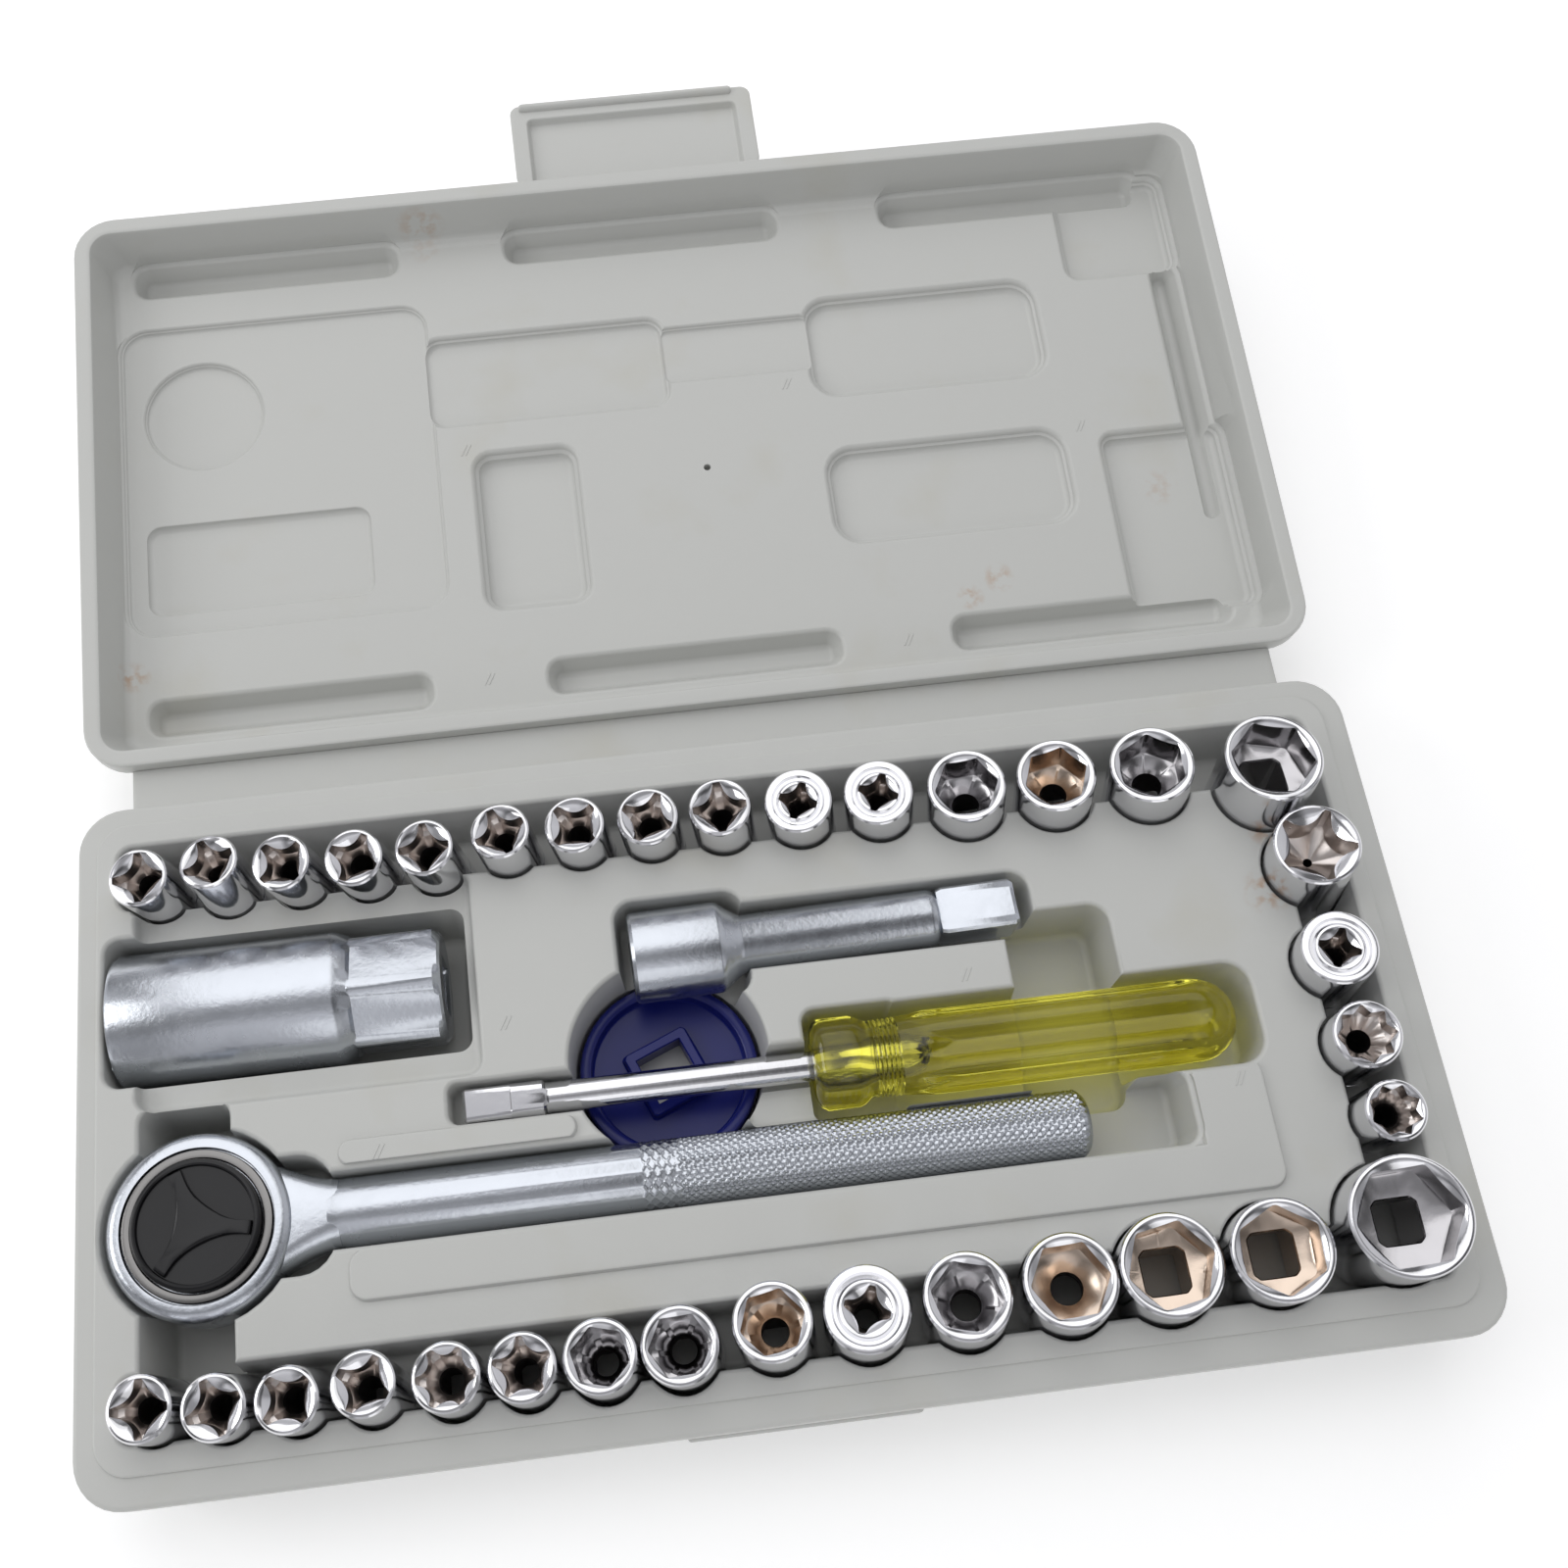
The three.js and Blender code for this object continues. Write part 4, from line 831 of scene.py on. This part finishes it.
deep = np.clip((X - 86.5 - 3.5 * np.cos(6 * T) ** 2) / 4, 0, 1) * np.clip((147 - X) / 6, 0, 1)
flute = 1.15 * (0.5 - 0.5 * np.cos(6 * T)) ** 1.5 * deep
on_collar = np.clip((X - 67.3) / 0.6, 0, 1) * np.clip((77.4 - X) / 1.2, 0, 1)
lobes = 0.75 * np.sin(3 * T) ** 2 * on_collar
R = base + ribs - flute - lobes
grip = np.stack([X, R * np.cos(T), R * np.sin(T)], -1)
grip = make_object("fluted_grip", skin(grip), SPINNER, 40)
dress(grip, amber, "spinner", ["spinner_grip"])
print("spinner grip", len(grip.data.polygons), "faces")

# %% [markdown]
# The spark plug socket is a long tube with a hexagon inside its mouth and another hexagon outside its
# far end, where a spanner can turn it. It could be a cylinder with both cut into it, but a profile
# like the bar's also gives the turned step before the hexagon and the eased edge of each hole.

# %% Spark plug socket
PLUG = Matrix.Translation((-123.5, 23.4, 16.4))
hexagon = ngon(21.6, 6, math.pi / 6 + 0.12, 1.14)
mouth = ngon(20.8, 6, math.pi / 6, 1.15)
hole = ngon(9.6, 4)
barrel = lathe([(22, mouth), (1.0, mouth), (0, lambda a: mouth(a) + 0.35), (0, 12.0), (0.3, 12.7),
                (1.2, 13.2), (43, 13.2), (43.8, 13.0), (46, 12.0), (46.6, hexagon), (62.6, hexagon), (63.5, 10.9),
                (64, 10.2), (64, lambda a: hole(a) + 0.5), (63.4, hole), (52, hole)], 120)
barrel = make_object("plug_socket_barrel", skin(along_x(barrel)), PLUG)
dress(barrel, zinc, "plug_socket", ["plug_socket"])
print("spark plug socket", len(barrel.data.polygons), "faces")

# %% [markdown]
# The thumb wheel is a moulded disc with a raised rim and a raised square round its hole. It could be
# a cylinder with inset faces, but those would all need bevels. It is one ring-shaped skin instead,
# with the eased edges in its profile, and its last section meets the first inside the hole.

# %% Thumb wheel
turn = math.radians(22)
WHEEL = Matrix.Translation((-17.4, 2.2, 5.5)) @ Matrix.Rotation(turn, 4, "Z")
hole = ngon(9.6, 4)
raised = ngon(13.6, 4, 0, 1.35)
disc = lathe([(0, lambda a: hole(a) + 0.2), (0, 17.2), (0.4, 17.7), (6.4, 17.7), (6.9, 17.4), (7, 16.9),
              (7, 16.0), (6.7, 15.5), (4.4, 15.2), (4.1, 14.9), (4.1, lambda a: raised(a) + 0.5),
              (4.4, lambda a: raised(a) + 0.2), (6.4, raised), (6.7, lambda a: raised(a) - 0.3),
              (6.7, lambda a: hole(a) + 0.25), (6.4, hole)], 144)
disc = make_object("wheel_disc", skin(disc, wrap=True), WHEEL)
dress(disc, blue, "thumb_wheel", ["thumb_wheel"])
print("thumb wheel", len(disc.data.polygons), "faces")

# %% [markdown]
# The detent balls, springs, pawl and rubber insert are small or hidden. They could be made again, but
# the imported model's shapes are right, so they only take a better finish.

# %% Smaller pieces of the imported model
FINISHES = {chrome: ["drive_ball", "extension_ball", "spinner_ball"],
            zinc: ["pawl", "pawl_spring", "drive_ball_spring", "extension_ball_spring",
                   "spinner_ball_spring"],
            rubber: ["plug_socket_insert"]}
for finish, names in FINISHES.items():
    for name in names:
        for slot in frame["nodes"][name].material_slots:
            slot.material = finish
print("finished", sum(len(names) for names in FINISHES.values()), "packed pieces")

# %% [markdown]
# ## Stage
# The set lies on pale paper under a broad soft light. Two smaller lights put highlights on the edges.
# The paper could be lit until it is white, but that would wash out the plastic, so it glows a little
# of its own.

# %% Floor
floor_mesh = bpy.data.meshes.new("floor")
floor_mesh.from_pydata([(-3, -3, 0), (3, -3, 0), (3, 3, 0), (-3, 3, 0)], [], [(0, 1, 2, 3)])
floor = bpy.data.objects.new("floor", floor_mesh)
bpy.context.scene.collection.objects.link(floor)
paper = material("floor paper", (0.95, 0.95, 0.95), 0.8)
paper.node_tree.nodes["Principled BSDF"].inputs["Emission Color"].default_value = (1, 1, 1, 1)
paper.node_tree.nodes["Principled BSDF"].inputs["Emission Strength"].default_value = 0.26
floor.data.materials.append(paper)
print("floor", floor.name)


# %% Lights
def area(name, place, target, size, power, tint=(1, 1, 1)):
    """A square soft light at a place, turned to face a target."""
    data = bpy.data.lights.new(name, "AREA")
    data.shape = "SQUARE"
    data.size = size
    data.energy = power
    data.color = tint
    obj = bpy.data.objects.new(name, data)
    obj.location = place
    obj.rotation_mode = "QUATERNION"
    obj.rotation_quaternion = (Vector(target) - Vector(place)).to_track_quat("-Z", "Y")
    bpy.context.scene.collection.objects.link(obj)
    return obj


area("overhead", (-0.1, 0.75, 1.1), (0, 0.07, 0), 1.6, 7.6)
area("left", (-0.9, 0.1, 0.6), (0, 0.05, 0), 0.5, 2.2)
area("front", (0.2, -1.1, 0.6), (0, 0, 0), 0.7, 1.0)
print("lights", len(bpy.data.lights))

# %% [markdown]
# Plated metal looks like what it reflects. Cards and flags round it could give it dark and bright
# bands, but they would also shade the floor and show from the side. The world's background does the
# same for glossy rays only.

# %% Background
world = bpy.data.worlds.new("studio")
bpy.context.scene.world = world
world.use_nodes = True
# Glossy rays see a room with a darker band behind the camera and dark gaps between bright walls. The
# camera sees a pale wall beyond the floor, and every other ray sees an even pale grey.
nodes, links = world.node_tree.nodes, world.node_tree.links
place = nodes.new("ShaderNodeTexCoord")
split = nodes.new("ShaderNodeSeparateXYZ")
links.new(place.outputs["Generated"], split.inputs["Vector"])


def band(axis, stops):
    """Brightness along one axis of direction, from -1 to 1, through the given stops."""
    spread = nodes.new("ShaderNodeMapRange")
    spread.inputs["From Min"].default_value = -1
    ramp = nodes.new("ShaderNodeValToRGB")
    links.new(split.outputs[axis], spread.inputs["Value"])
    links.new(spread.outputs["Result"], ramp.inputs["Fac"])
    while len(ramp.color_ramp.elements) < len(stops):
        ramp.color_ramp.elements.new(0.5)
    for element, (at, value) in zip(ramp.color_ramp.elements, stops):
        element.position = (at + 1) / 2
        element.color = (value, value, value * 1.02, 1)
    return ramp.outputs["Color"]


along = band("Y", [(-1, 0.55), (-0.62, 0.8), (-0.42, 0.38), (-0.2, 0.34), (-0.08, 0.62), (0.3, 0.74),
                   (1, 0.6)])
aside = band("X", [(-1, 0.9), (-0.72, 0.9), (-0.62, 0.25), (-0.45, 0.95), (0.2, 1.0), (0.36, 0.2),
                   (0.5, 0.25), (0.62, 0.95), (1, 0.9)])
both = nodes.new("ShaderNodeMix")
both.data_type = "RGBA"
both.blend_type = "MULTIPLY"
both.inputs["Factor"].default_value = 1
links.new(along, both.inputs["A"])
links.new(aside, both.inputs["B"])
ray = nodes.new("ShaderNodeLightPath")
pick = nodes.new("ShaderNodeMix")
pick.data_type = "RGBA"
pick.inputs["A"].default_value = (0.49, 0.49, 0.5, 1)
links.new(ray.outputs["Is Glossy Ray"], pick.inputs["Factor"])
links.new(both.outputs["Result"], pick.inputs["B"])
behind = nodes.new("ShaderNodeMix")
behind.data_type = "RGBA"
behind.inputs["B"].default_value = (0.9, 0.9, 0.9, 1)
links.new(ray.outputs["Is Camera Ray"], behind.inputs["Factor"])
links.new(pick.outputs["Result"], behind.inputs["A"])
links.new(behind.outputs["Result"], nodes["Background"].inputs["Color"])
print("background nodes", len(nodes))

# %% [markdown]
# The camera stands close above the front edge, so the case narrows towards the lid. It could follow a
# target, but a fixed turn renders the same each time. A small shift slides the case into the frame
# without turning the camera further.

# %% Camera
camera_data = bpy.data.cameras.new("camera")
camera_data.sensor_width = 36
camera_data.lens = 39.83
camera_data.shift_x = 0.06
camera_data.clip_start = 0.01
camera = bpy.data.objects.new("camera", camera_data)
camera.location = (-0.0240, -0.0741, 0.3515)
camera.rotation_mode = "QUATERNION"
camera.rotation_quaternion = Quaternion((0.979682, 0.191149, -0.013629, -0.059149))
bpy.context.scene.collection.objects.link(camera)
bpy.context.scene.camera = camera
bpy.context.scene.view_settings.view_transform = "Standard"
print("camera lens", camera_data.lens)
